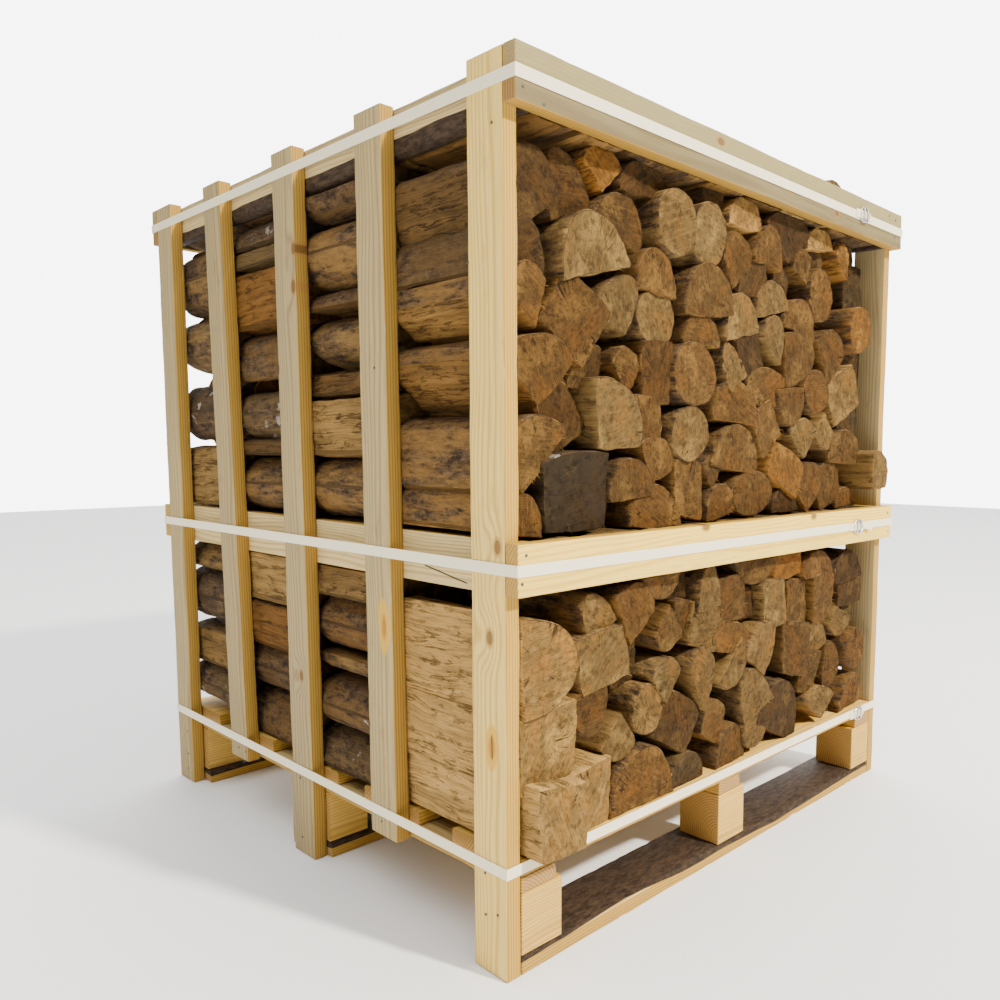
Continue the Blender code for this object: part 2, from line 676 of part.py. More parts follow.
def lone_log(name, outline, front, back, material):
    """A log with a solid of its own, clear of the logs around it."""
    inset = outline
    for index, here in enumerate(outline):
        there = outline[(index + 1) % len(outline)]
        length = math.dist(here, there)
        normal = ((there[1] - here[1]) / length, -(there[0] - here[0]) / length)
        limit = here[0] * normal[0] + here[1] * normal[1] - 2 * FIT_GAP
        inset = clip(inset, normal, limit)
    inset = tidy_outline(inset)
    count = len(inset)
    middle = (sum(point[0] for point in inset) / count, sum(point[1] for point in inset) / count)
    drawn_in = toward_middle(inset, middle, CHAMFER_SHARE)
    points = [(x, front, z) for x, z in drawn_in]
    points += [(x, front + END_CHAMFER, z) for x, z in inset]
    points += [(x, back, z) for x, z in inset]
    faces = [tuple(range(count)), tuple(reversed(range(2 * count, 3 * count)))]
    for ring in (0, count):
        for index in range(count):
            after = (index + 1) % count
            faces.append((ring + index, ring + index + count, ring + after + count, ring + after))
    return add_piece(name, points, faces, material)


def build_logs(birch):
    """Four rows of logs: the ends that show at the front and back as measured, the rest in courses."""
    names = ["front_log_row", "second_log_row", "third_log_row", "back_log_row"]
    for row, row_name in enumerate(names):
        row_front = row * LOG_LENGTH + ROW_GAP
        row_back = (row + 1) * LOG_LENGTH - ROW_GAP
        at_back = row == ROW_COUNT - 1
        outlines = []
        details = []
        for bay_number, bay in enumerate(BAYS):
            chance = random.Random(40 + 10 * row + bay_number)
            if bay_number in (0, 2) and (row == 0 or at_back):
                seeds, bay_details = measured_seeds(bay, at_back)
            else:
                seeds = course_seeds(bay, row, chance)
                bay_details = [(None, "")] * len(seeds)
            seeds, bay_details = put_side_logs(bay, row, seeds, bay_details)
            outlines += log_cells(bay, seeds, chance)
            details += bay_details
        outlines = merge_close_corners(outlines, 0.00005)
        chance = random.Random(90 + row)
        cells = []
        for outline, (out, name) in zip(outlines, details):
            front = row_front
            back = row_back
            if row == 0:
                front = row_front + round(chance.uniform(0.0, END_SPREAD), 4)
            if at_back:
                back = row_back - round(chance.uniform(0.0, END_SPREAD), 4)
            if out is not None:
                front = -out
                if not name:
                    front = max(front, 0.0005)
            if len(outline) < 3:
                continue
            if name:
                lone_log(name, outline, front, back, birch)
            else:
                cells.append((outline, front, back))
        chamfers = (END_CHAMFER if row == 0 else 0.0, END_CHAMFER if at_back else 0.0)
        row_solid(row_name, cells, chamfers, birch)


def build_top_log(birch):
    """The half-round log that lies on top, flat side down."""
    outline = []
    steps = 6
    for step in range(steps + 1):
        angle = math.pi * step / steps
        x = TOP_LOG_CENTRE_X + math.cos(angle) * TOP_LOG_WIDTH / 2
        outline.append((x, PILE_TOP + FIT_GAP + math.sin(angle) * TOP_LOG_HEIGHT))
    front, back = TOP_LOG_SPAN_Y
    points = [(x, front, z) for x, z in outline] + [(x, back, z) for x, z in outline]
    count = len(outline)
    faces = [tuple(range(count)), tuple(reversed(range(count, 2 * count)))]
    for index in range(count):
        after = (index + 1) % count
        faces.append((index, index + count, after + count, after))
    add_piece("top_log", points, faces, birch)


clear_scene()
slat_pine = finish("slat_pine", (0.66, 0.56, 0.40))
pallet_pine = finish("pallet_pine", (0.70, 0.60, 0.42))
birch_wood = finish("birch_wood", (0.50, 0.33, 0.17))
strap_plastic = finish("strap_plastic", (0.82, 0.84, 0.86), roughness=0.35)
buckle_steel = finish("buckle_steel", (0.62, 0.63, 0.65), metallic=1.0, roughness=0.35)
build_sides(slat_pine)
build_cross_boards(slat_pine)
build_pallet(pallet_pine)
build_straps(strap_plastic)
build_buckles(buckle_steel)
build_logs(birch_wood)
build_top_log(birch_wood)
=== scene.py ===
"""Looks for the crate of birch firewood: sawn pine frame, split birch logs, straps and buckles."""

import math
import random

import bmesh
import bpy
import numpy as np
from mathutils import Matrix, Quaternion, Vector


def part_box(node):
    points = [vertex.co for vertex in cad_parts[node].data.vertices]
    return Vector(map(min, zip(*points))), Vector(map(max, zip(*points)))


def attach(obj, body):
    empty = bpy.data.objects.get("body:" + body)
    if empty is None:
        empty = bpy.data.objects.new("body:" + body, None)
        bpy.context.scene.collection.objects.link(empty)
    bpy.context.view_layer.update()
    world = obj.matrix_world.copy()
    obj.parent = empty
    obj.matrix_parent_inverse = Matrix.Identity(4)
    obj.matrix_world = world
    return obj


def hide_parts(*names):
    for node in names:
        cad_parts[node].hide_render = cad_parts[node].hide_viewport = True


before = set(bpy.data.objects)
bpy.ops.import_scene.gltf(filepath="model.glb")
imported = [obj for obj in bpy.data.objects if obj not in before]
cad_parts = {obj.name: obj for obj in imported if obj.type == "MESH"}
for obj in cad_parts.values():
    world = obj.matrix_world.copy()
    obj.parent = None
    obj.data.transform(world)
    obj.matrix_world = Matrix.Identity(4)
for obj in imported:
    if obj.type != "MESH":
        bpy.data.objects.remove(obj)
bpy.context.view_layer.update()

# Crate measures in metres, from its front left corner at the floor; CORNER is where that
# corner stands in the row frame.
CRATE_WIDTH = 1.0
CRATE_DEPTH = 1.0
FRONT_REACH = 0.034
BACK_REACH = 0.0232
CORNER = Vector((-CRATE_WIDTH / 2, -(CRATE_DEPTH + BACK_REACH - FRONT_REACH) / 2, 0.0))
SLAT_THICKNESS = 0.022
SLAT_WIDTH = 0.064
SLAT_CENTRES_TOP = [0.032, 0.2753, 0.5105, 0.7608, 0.968]
SLAT_CENTRES_FOOT = [0.032, 0.2675, 0.4995, 0.7264, 0.968]
RAIL_THICKNESS = 0.02
MIDDLE_RAIL_FOOT = 0.4795
MIDDLE_RAIL_TOP = 0.5485
TOP_RAIL_FOOT = 1.046
DECK_TOP = 0.149

LOG_LENGTH = 0.25
ROW_COUNT = 4
ROW_GAP = 0.0012
SIDE_SETBACK = 0.012
# The log ends are drawn this much larger than measured, so that neighbours meet.
END_GROWTH = 1.05
TOP_DROP = 0.028
LOG_SPACE_X = (SLAT_THICKNESS + 0.001, CRATE_WIDTH - SLAT_THICKNESS - 0.001)
RAIL_SPACE_X = (SLAT_THICKNESS + RAIL_THICKNESS + 0.001, CRATE_WIDTH - SLAT_THICKNESS - RAIL_THICKNESS - 0.001)
PILE_FOOT = DECK_TOP + 0.0005
PILE_TOP = 1.098
BAYS = [
    (LOG_SPACE_X, (PILE_FOOT, MIDDLE_RAIL_FOOT - 0.001)),
    (RAIL_SPACE_X, (MIDDLE_RAIL_FOOT - 0.001, MIDDLE_RAIL_TOP + 0.001)),
    (LOG_SPACE_X, (MIDDLE_RAIL_TOP + 0.001, TOP_RAIL_FOOT - 0.001)),
    (RAIL_SPACE_X, (TOP_RAIL_FOOT - 0.001, PILE_TOP)),
]
COURSE_HEIGHTS = [0.09, 0.1, 0.1, 0.095]
LOG_PITCHES = [0.1, 0.122, 0.122, 0.108]
TOP_LOG_CENTRE_X = 0.775
TOP_LOG_WIDTH = 0.094
TOP_LOG_HEIGHT = 0.038
TOP_LOG_SPAN_Y = (0.004, 0.246)

# The front row's log ends: centre x, centre z, width and height in centimetres, section
# (R round, H half, Q quarter, B block), turn in degrees, how far the end stands out in
# millimetres, colour of the wood and the name of the solid, if it has one of its own. The
# ends set 18 mm or more back all take the dark brown and grey colours, which paint shade
# on them besides the shade their recess casts.
FRONT_LOGS = [
    (5.8, 97.0, 8.5, 10.5, "Q", -20, -14, "brown", ""),
    (4.5, 90.5, 6.5, 6.0, "H", 0, -10, "brown", ""),
    (4.7, 84.0, 6.5, 7.8, "Q", 15, -4, "ochre", ""),
    (6.8, 75.8, 11.5, 9.0, "Q", 0, -3, "ochre", ""),
    (5.0, 66.5, 10.0, 5.8, "H", 45, -4, "ochre", ""),
    (12.4, 82.4, 9.0, 7.8, "B", -34, -2, "ochre", ""),
    (12.5, 99.5, 7.0, 8.5, "H", 20, -24, "brown", ""),
    (18.6, 102.0, 7.0, 6.0, "Q", 0, -16, "orange", ""),
    (21.6, 96.4, 9.5, 6.2, "H", -15, -5, "ochre", ""),
    (15.4, 92.2, 13.0, 7.5, "H", 17, -1, "pale", ""),
    (28.5, 90.5, 7.3, 6.1, "H", -3, -4, "ochre", ""),
    (21.3, 85.7, 7.5, 6.8, "H", -35, -2, "pale", ""),
    (28.7, 84.2, 7.6, 7.6, "R", 0, -3, "pale", ""),
    (32.3, 97.6, 8.3, 8.8, "R", 0, 2, "pale", "twin_round_log_left"),
    (39.9, 97.2, 7.6, 9.2, "R", 0, 3, "pale", "twin_round_log_right"),
    (27.5, 102.7, 11.0, 5.0, "H", 0, -12, "brown", ""),
    (40.2, 89.4, 12.5, 7.0, "H", 6, 1, "ochre", "wide_half_log"),
    (39.4, 83.8, 8.0, 4.7, "H", -3, -4, "ochre", ""),
    (37.6, 77.0, 10.6, 9.3, "R", 0, -1, "ochre", ""),
    (29.2, 76.8, 5.7, 8.0, "B", 0, -3, "ochre", ""),
    (23.0, 76.3, 5.5, 7.0, "Q", 0, -7, "ochre", ""),
    (16.8, 76.9, 6.0, 5.5, "B", 0, -30, "brown", ""),
    (20.0, 69.6, 11.5, 10.5, "Q", -42, 1, "pale", ""),
    (11.4, 70.2, 6.5, 7.5, "B", 30, -25, "brown", ""),
    (27.2, 69.8, 6.2, 6.4, "B", 2, -6, "ochre", ""),
    (36.5, 68.2, 8.2, 7.8, "R", 0, 0, "pale", ""),
    (12.6, 60.3, 11.5, 9.2, "B", 4, -2, "mould", ""),
    (22.9, 61.8, 9.5, 5.2, "H", 4, -2, "ochre", ""),
    (30.0, 64.0, 8.5, 6.8, "Q", -20, -5, "ochre", ""),
    (36.6, 60.2, 7.4, 8.0, "B", -8, -4, "ochre", ""),
    (28.6, 57.8, 11.0, 6.0, "H", -5, -2, "ochre", ""),
    (4.0, 58.0, 5.5, 5.0, "H", -10, -6, "ochre", ""),
    (49.5, 66.4, 11.5, 7.4, "H", -10, -2, "ochre", ""),
    (48.6, 73.6, 12.0, 6.5, "H", -5, -4, "ochre", ""),
    (43.6, 62.6, 5.5, 5.5, "Q", 0, -9, "brown", ""),
    (45.3, 58.0, 8.5, 4.8, "H", 10, -7, "ochre", ""),
    (54.0, 58.8, 11.0, 7.0, "R", 0, -2, "ochre", ""),
    (48.2, 96.0, 7.6, 7.5, "H", 40, -5, "ochre", ""),
    (50.3, 102.6, 10.0, 5.0, "H", 0, -2, "fresh", ""),
    (43.2, 103.6, 4.6, 3.6, "R", 0, -12, "brown", ""),
    (49.2, 86.7, 10.0, 6.4, "H", 10, 0, "pale", ""),
    (47.4, 79.4, 5.2, 7.0, "H", 30, 0, "pale", ""),
    (52.4, 81.0, 6.5, 7.0, "B", 20, -7, "brown", ""),
    (53.6, 93.4, 8.5, 6.3, "H", 0, -6, "brown", ""),
    (57.2, 98.8, 8.2, 6.2, "H", -3, -3, "ochre", ""),
    (63.5, 101.0, 12.0, 8.5, "Q", 0, -5, "brown", ""),
    (58.6, 90.6, 10.0, 5.2, "H", 12, -6, "pale", ""),
    (59.8, 85.0, 6.8, 6.5, "H", -35, -5, "pale", ""),
    (63.6, 94.0, 5.6, 4.6, "B", -20, -18, "brown", ""),
    (68.6, 88.4, 9.4, 6.4, "H", -20, -2, "ochre", ""),
    (69.3, 97.2, 5.8, 6.0, "Q", 30, -8, "ochre", ""),
    (74.5, 93.0, 7.0, 8.8, "R", 0, -2, "ochre", ""),
    (75.0, 103.0, 10.0, 4.0, "H", 8, -9, "fresh", ""),
    (76.8, 99.0, 5.5, 5.0, "B", 0, -28, "brown", ""),
    (82.8, 99.8, 4.6, 7.0, "Q", 20, -6, "orange", ""),
    (88.3, 102.0, 7.0, 6.0, "B", 10, -34, "brown", ""),
    (67.6, 81.7, 9.0, 9.2, "H", -80, -1, "ochre", ""),
    (78.5, 82.7, 10.4, 9.6, "Q", -5, -2, "ochre", ""),
    (58.0, 76.0, 12.6, 6.4, "R", -3, -2, "ochre", ""),
    (65.2, 73.2, 9.4, 6.4, "H", 185, -4, "ochre", ""),
    (73.5, 76.2, 8.4, 7.2, "R", 0, -2, "ochre", ""),
    (83.0, 75.8, 8.8, 7.8, "B", 30, 0, "pale", ""),
    (88.8, 80.4, 6.5, 6.5, "B", 0, -30, "brown", ""),
    (88.5, 88.3, 9.2, 8.2, "R", 0, 3, "orange", "right_round_log"),
    (93.0, 96.5, 7.5, 9.5, "B", 0, -40, "grey", ""),
    (57.8, 69.2, 7.2, 7.0, "B", 35, -5, "ochre", ""),
    (70.2, 68.0, 8.4, 6.8, "Q", 5, -2, "pale", ""),
    (77.6, 69.4, 7.6, 6.4, "Q", 180, -5, "pale", ""),
    (84.5, 66.5, 12.2, 6.0, "H", -3, -2, "ochre", ""),
    (63.3, 62.7, 10.0, 6.0, "B", -25, 0, "orange", ""),
    (72.0, 60.6, 7.8, 8.2, "H", -60, -4, "ochre", ""),
    (80.0, 59.6, 8.3, 7.2, "B", 12, -7, "ochre", ""),
    (91.6, 61.3, 9.0, 7.6, "Q", -45, 34, "pale", "leaning_log"),
    (90.2, 71.6, 7.0, 6.6, "R", 0, -30, "grey", ""),
    (64.8, 57.3, 9.5, 4.2, "H", 0, -8, "brown", ""),
    (87.0, 57.0, 6.5, 3.6, "H", 0, -6, "ochre", ""),
    (95.4, 80.0, 4.5, 13.0, "B", 0, -45, "grey", ""),
    (7.1, 38.8, 12.0, 9.0, "H", -90, 6, "cream", "big_half_log"),
    (6.9, 28.6, 9.4, 9.0, "B", 185, 2, "cream", "squared_log"),
    (6.9, 19.4, 7.4, 8.8, "B", 180, 30, "cream", "overhanging_log"),
    (14.8, 19.4, 7.6, 9.0, "B", 180, 2, "cream", "cut_post_log"),
    (17.6, 37.7, 8.6, 7.8, "B", 10, -2, "pale", ""),
    (16.6, 44.2, 6.0, 6.5, "H", 30, -5, "pale", ""),
    (24.0, 43.0, 8.2, 8.8, "Q", -20, -3, "ochre", ""),
    (15.8, 30.8, 8.0, 6.5, "H", 190, -6, "ochre", ""),
    (21.6, 25.6, 7.6, 6.8, "Q", 180, -5, "pale", ""),
    (26.0, 19.3, 13.2, 8.6, "H", 0, 0, "ochre", "broad_half_log"),
    (27.4, 28.6, 5.9, 7.0, "R", 0, -1, "pale", ""),
    (31.6, 32.2, 7.6, 6.4, "Q", 0, -3, "pale", ""),
    (34.4, 25.0, 8.4, 7.6, "B", -30, -4, "brown", ""),
    (37.0, 17.4, 8.6, 4.8, "H", 0, -5, "grey", ""),
    (40.6, 30.6, 6.8, 9.6, "Q", -5, -2, "pale", ""),
    (44.7, 22.2, 7.4, 8.2, "Q", 20, -5, "ochre", ""),
    (49.0, 18.0, 9.4, 6.0, "H", 0, -3, "ochre", ""),
    (49.9, 30.6, 9.4, 5.0, "H", -135, -3, "pale", ""),
    (48.6, 35.8, 10.0, 5.0, "R", -5, -5, "ochre", ""),
    (41.9, 38.6, 7.0, 6.6, "B", -20, -4, "pale", ""),
    (42.8, 44.8, 5.9, 7.2, "H", 0, -2, "pale", ""),
    (32.2, 39.6, 5.8, 7.0, "Q", 180, -4, "ochre", ""),
    (30.5, 46.3, 8.6, 4.0, "H", 180, -5, "ochre", ""),
    (25.5, 35.2, 5.0, 6.0, "B", 0, -32, "brown", ""),
    (36.9, 45.6, 4.6, 4.2, "B", 0, -26, "brown", ""),
    (37.0, 40.2, 3.8, 6.0, "B", 0, -20, "brown", ""),
    (49.0, 42.0, 6.8, 6.8, "B", 3, -4, "ochre", ""),
    (55.8, 46.0, 10.6, 4.6, "H", 180, -4, "ochre", ""),
    (65.3, 46.0, 8.6, 4.2, "B", 0, -6, "orange", ""),
    (55.2, 40.2, 4.6, 5.0, "B", 0, -26, "brown", ""),
    (61.3, 39.6, 6.3, 7.6, "B", 10, -2, "pale", ""),
    (57.8, 33.2, 8.8, 8.0, "H", -35, -3, "pale", ""),
    (69.2, 38.8, 6.2, 7.4, "B", 3, -3, "ochre", ""),
    (77.6, 38.8, 7.2, 8.4, "B", 2, -1, "ochre", ""),
    (75.7, 45.3, 10.6, 4.8, "H", 0, -3, "ochre", ""),
    (88.2, 43.8, 10.6, 6.0, "H", 8, -8, "brown", ""),
    (90.6, 38.4, 9.0, 5.4, "B", 0, -14, "brown", ""),
    (86.0, 33.2, 7.6, 6.2, "Q", 190, -6, "pale", ""),
    (76.4, 31.6, 6.2, 5.8, "H", 20, -2, "pale", ""),
    (69.0, 30.4, 7.6, 8.4, "B", -8, -4, "brown", ""),
    (55.0, 25.4, 8.8, 7.4, "H", 20, -3, "pale", ""),
    (55.6, 19.0, 6.8, 6.2, "R", 0, 0, "pale", ""),
    (64.8, 20.6, 14.5, 9.0, "H", -25, -6, "brown", ""),
    (74.6, 25.4, 4.8, 7.4, "B", -15, -4, "ochre", ""),
    (82.4, 25.0, 9.8, 5.5, "H", -90, -2, "ochre", ""),
    (78.8, 28.2, 4.0, 5.0, "B", 0, -18, "brown", ""),
    (77.6, 18.8, 9.6, 6.4, "Q", 0, 0, "pale", ""),
    (91.0, 27.0, 8.2, 7.8, "R", 0, -1, "red", "low_round_log"),
    (90.8, 18.8, 9.6, 6.6, "H", 0, -1, "ochre", ""),
    (94.6, 34.0, 4.0, 5.0, "B", 0, -36, "grey", ""),
]

# The logs at the left side of the rows behind the front one, from the top down: centre z,
# width and height in centimetres, section, turn in degrees and colour of the wood.
SIDE_LOGS = {
    1: [
        (102.4, 8.5, 3.4, "H", 180, "brown"),
        (95.4, 9.5, 9.4, "R", 0, "side_tan"),
        (88.6, 7.5, 3.2, "H", 0, "brown"),
        (82.4, 9.0, 8.4, "H", 90, "side_tan"),
        (75.6, 7.5, 3.2, "B", 0, "brown"),
        (69.2, 9.0, 8.2, "B", 0, "pale"),
        (60.0, 10.0, 9.4, "R", 0, "side_tan"),
        (45.6, 8.0, 4.4, "B", 0, "side_tan"),
        (38.5, 9.5, 8.8, "R", 0, "red"),
        (31.8, 8.0, 3.6, "H", 180, "side_tan"),
        (25.4, 9.0, 8.4, "R", 0, "brown"),
        (18.0, 8.5, 5.2, "H", 0, "grey"),
    ],
    2: [
        (101.8, 9.0, 4.8, "H", 0, "mould"),
        (97.9, 7.5, 2.8, "B", 0, "grey"),
        (90.8, 9.5, 9.6, "B", 0, "red"),
        (81.0, 9.5, 9.6, "Q", 60, "brown"),
        (71.6, 9.0, 8.8, "R", 0, "grey"),
        (66.1, 7.5, 2.4, "B", 0, "brown"),
        (59.8, 10.0, 9.0, "R", 0, "side_tan"),
        (43.6, 9.0, 8.0, "B", 0, "pale"),
        (35.8, 9.0, 7.4, "B", 4, "red"),
        (27.3, 10.0, 9.2, "R", 0, "brown"),
        (18.6, 9.0, 7.4, "H", 0, "brown"),
    ],
    3: [
        (97.0, 10.0, 11.4, "R", 0, "side_tan"),
        (85.8, 9.0, 10.4, "H", 90, "pale"),
        (72.6, 9.5, 10.6, "R", 0, "mould"),
        (61.0, 9.5, 10.4, "B", 0, "pale"),
        (45.2, 8.0, 4.4, "H", 0, "side_tan"),
        (37.2, 10.0, 10.4, "R", 0, "mould"),
        (27.6, 8.5, 7.0, "B", 0, "side_tan"),
        (19.8, 8.5, 7.6, "R", 0, "grey"),
    ],
}
SIDE_REACH = 0.09

# Lightness, redness and weathering of each wood colour, from 0 to 1.
WOOD_TONES = {
    "pale": (0.56, 0.15, 0.15),
    "fresh": (0.95, 0.3, 0.0),
    "cream": (1.0, 0.15, 0.05),
    "tan": (0.42, 0.4, 0.2),
    "side_tan": (0.42, 0.35, 0.3),
    "ochre": (0.34, 0.55, 0.08),
    "orange": (0.56, 0.95, 0.0),
    "red": (0.34, 0.95, 0.3),
    # brown and grey also paint shade on the deep-set front ends, besides their own tone
    "brown": (0.18, 0.5, 0.4),
    "bark": (0.26, 0.3, 0.6),
    "grey": (0.22, 0.1, 0.75),
    "mould": (0.06, 0.15, 1.0),
}


class Field:
    """A shader socket that can be reckoned with like a number."""

    def __init__(self, graph, socket):
        self.graph = graph
        self.socket = socket

    def reckon(self, operation, *values):
        return self.graph.node("ShaderNodeMath", {"operation": operation}, dict(enumerate(values)))

    def __add__(self, other):
        return self.reckon("ADD", self, other)

    def __radd__(self, other):
        return self.reckon("ADD", other, self)

    def __sub__(self, other):
        return self.reckon("SUBTRACT", self, other)

    def __rsub__(self, other):
        return self.reckon("SUBTRACT", other, self)

    def __mul__(self, other):
        return self.reckon("MULTIPLY", self, other)

    def __rmul__(self, other):
        return self.reckon("MULTIPLY", other, self)

    def __truediv__(self, other):
        return self.reckon("DIVIDE", self, other)

    def __rtruediv__(self, other):
        return self.reckon("DIVIDE", other, self)

    def power(self, exponent):
        return self.reckon("POWER", self, exponent)

    def sine(self):
        return self.reckon("SINE", self)

    def size(self):
        return self.reckon("ABSOLUTE", self)


    def above(self, low, high):
        """0 below low, 1 above high and smooth between."""
        settings = {"interpolation_type": "SMOOTHSTEP", "clamp": True}
        limits = {"Value": self, "From Min": low, "From Max": high}
        return self.graph.node("ShaderNodeMapRange", settings, limits)

    def below(self, low, high):
        """1 below low, 0 above high and smooth between."""
        return 1 - self.above(low, high)


class Graph:
    """The node tree of a material or a world, ending in its surface node."""

    def __init__(self, name, owner=None, surface="Principled BSDF"):
        self.owner = owner or bpy.data.materials.new(name)
        self.owner.use_nodes = True
        self.tree = self.owner.node_tree
        self.surface = self.tree.nodes[surface]

    def node(self, kind, settings=None, inputs=None, output=0):
        """Add a node, set its options first, then its sockets, and give one output."""
        added = self.tree.nodes.new(kind)
        for option, value in (settings or {}).items():
            setattr(added, option, value)
        for socket, value in (inputs or {}).items():
            self.feed(added.inputs[socket], value)
        return Field(self, added.outputs[output])

    def feed(self, socket, value):
        if isinstance(value, Field):
            self.tree.links.new(value.socket, socket)
        elif isinstance(value, tuple) and len(value) == 3 and socket.type == "RGBA":
            socket.default_value = (*value, 1.0)
        else:
            socket.default_value = value

    def attribute(self, name, output="Fac"):
        return self.node("ShaderNodeAttribute", {"attribute_name": name}, output=output)

    def scaled(self, vector, factors):
        """A vector stretched by three factors."""
        return self.node("ShaderNodeVectorMath", {"operation": "MULTIPLY"}, {0: vector, 1: factors})

    def moved(self, vector, offset):
        return self.node("ShaderNodeVectorMath", {"operation": "ADD"}, {0: vector, 1: offset})

    def combined(self, x, y, z):
        return self.node("ShaderNodeCombineXYZ", None, {0: x, 1: y, 2: z})

    def parts(self, vector):
        """The three parts of a vector."""
        return [self.node("ShaderNodeSeparateXYZ", None, {0: vector}, output=index) for index in range(3)]

    def noise(self, vector, scale=1.0, detail=2.0, roughness=0.5, distortion=0.0):
        inputs = {
            "Vector": vector,
            "Scale": scale,
            "Detail": detail,
            "Roughness": roughness,
            "Distortion": distortion,
        }
        return self.node("ShaderNodeTexNoise", None, inputs)

    def mixed(self, factor, first, second):
        """A colour between two colours."""
        settings = {"data_type": "RGBA", "clamp_factor": True}
        return self.node("ShaderNodeMix", settings, {0: factor, 6: first, 7: second}, output=2)

    def shaded(self, colour, factor):
        """A colour made darker or lighter by a factor."""
        grey = self.combined(factor, factor, factor)
        return self.node("ShaderNodeVectorMath", {"operation": "MULTIPLY"}, {0: colour, 1: grey})

    def raised(self, height, distance, strength=1.0):
        """A bump from a height field."""
        inputs = {"Height": height, "Distance": distance, "Strength": strength}
        return self.node("ShaderNodeBump", None, inputs)

    def finish(self, **sockets):
        """Feed the surface's sockets by name, with _ for a space."""
        for name, value in sockets.items():
            self.feed(self.surface.inputs[name.replace("_", " ")], value)
        return self.owner


def near_line(along, across, line, width):
    """1 on a line of a board's face given as (along, across) twice, in metres."""
    (along_1, across_1, along_2, across_2) = line
    share = (along - along_1) / (along_2 - along_1)
    offset = (across - across_1 - share * (across_2 - across_1)).size()
    inside = (share - 0.5).size().below(0.44, 0.52)
    return offset.below(width * 0.5, width) * inside


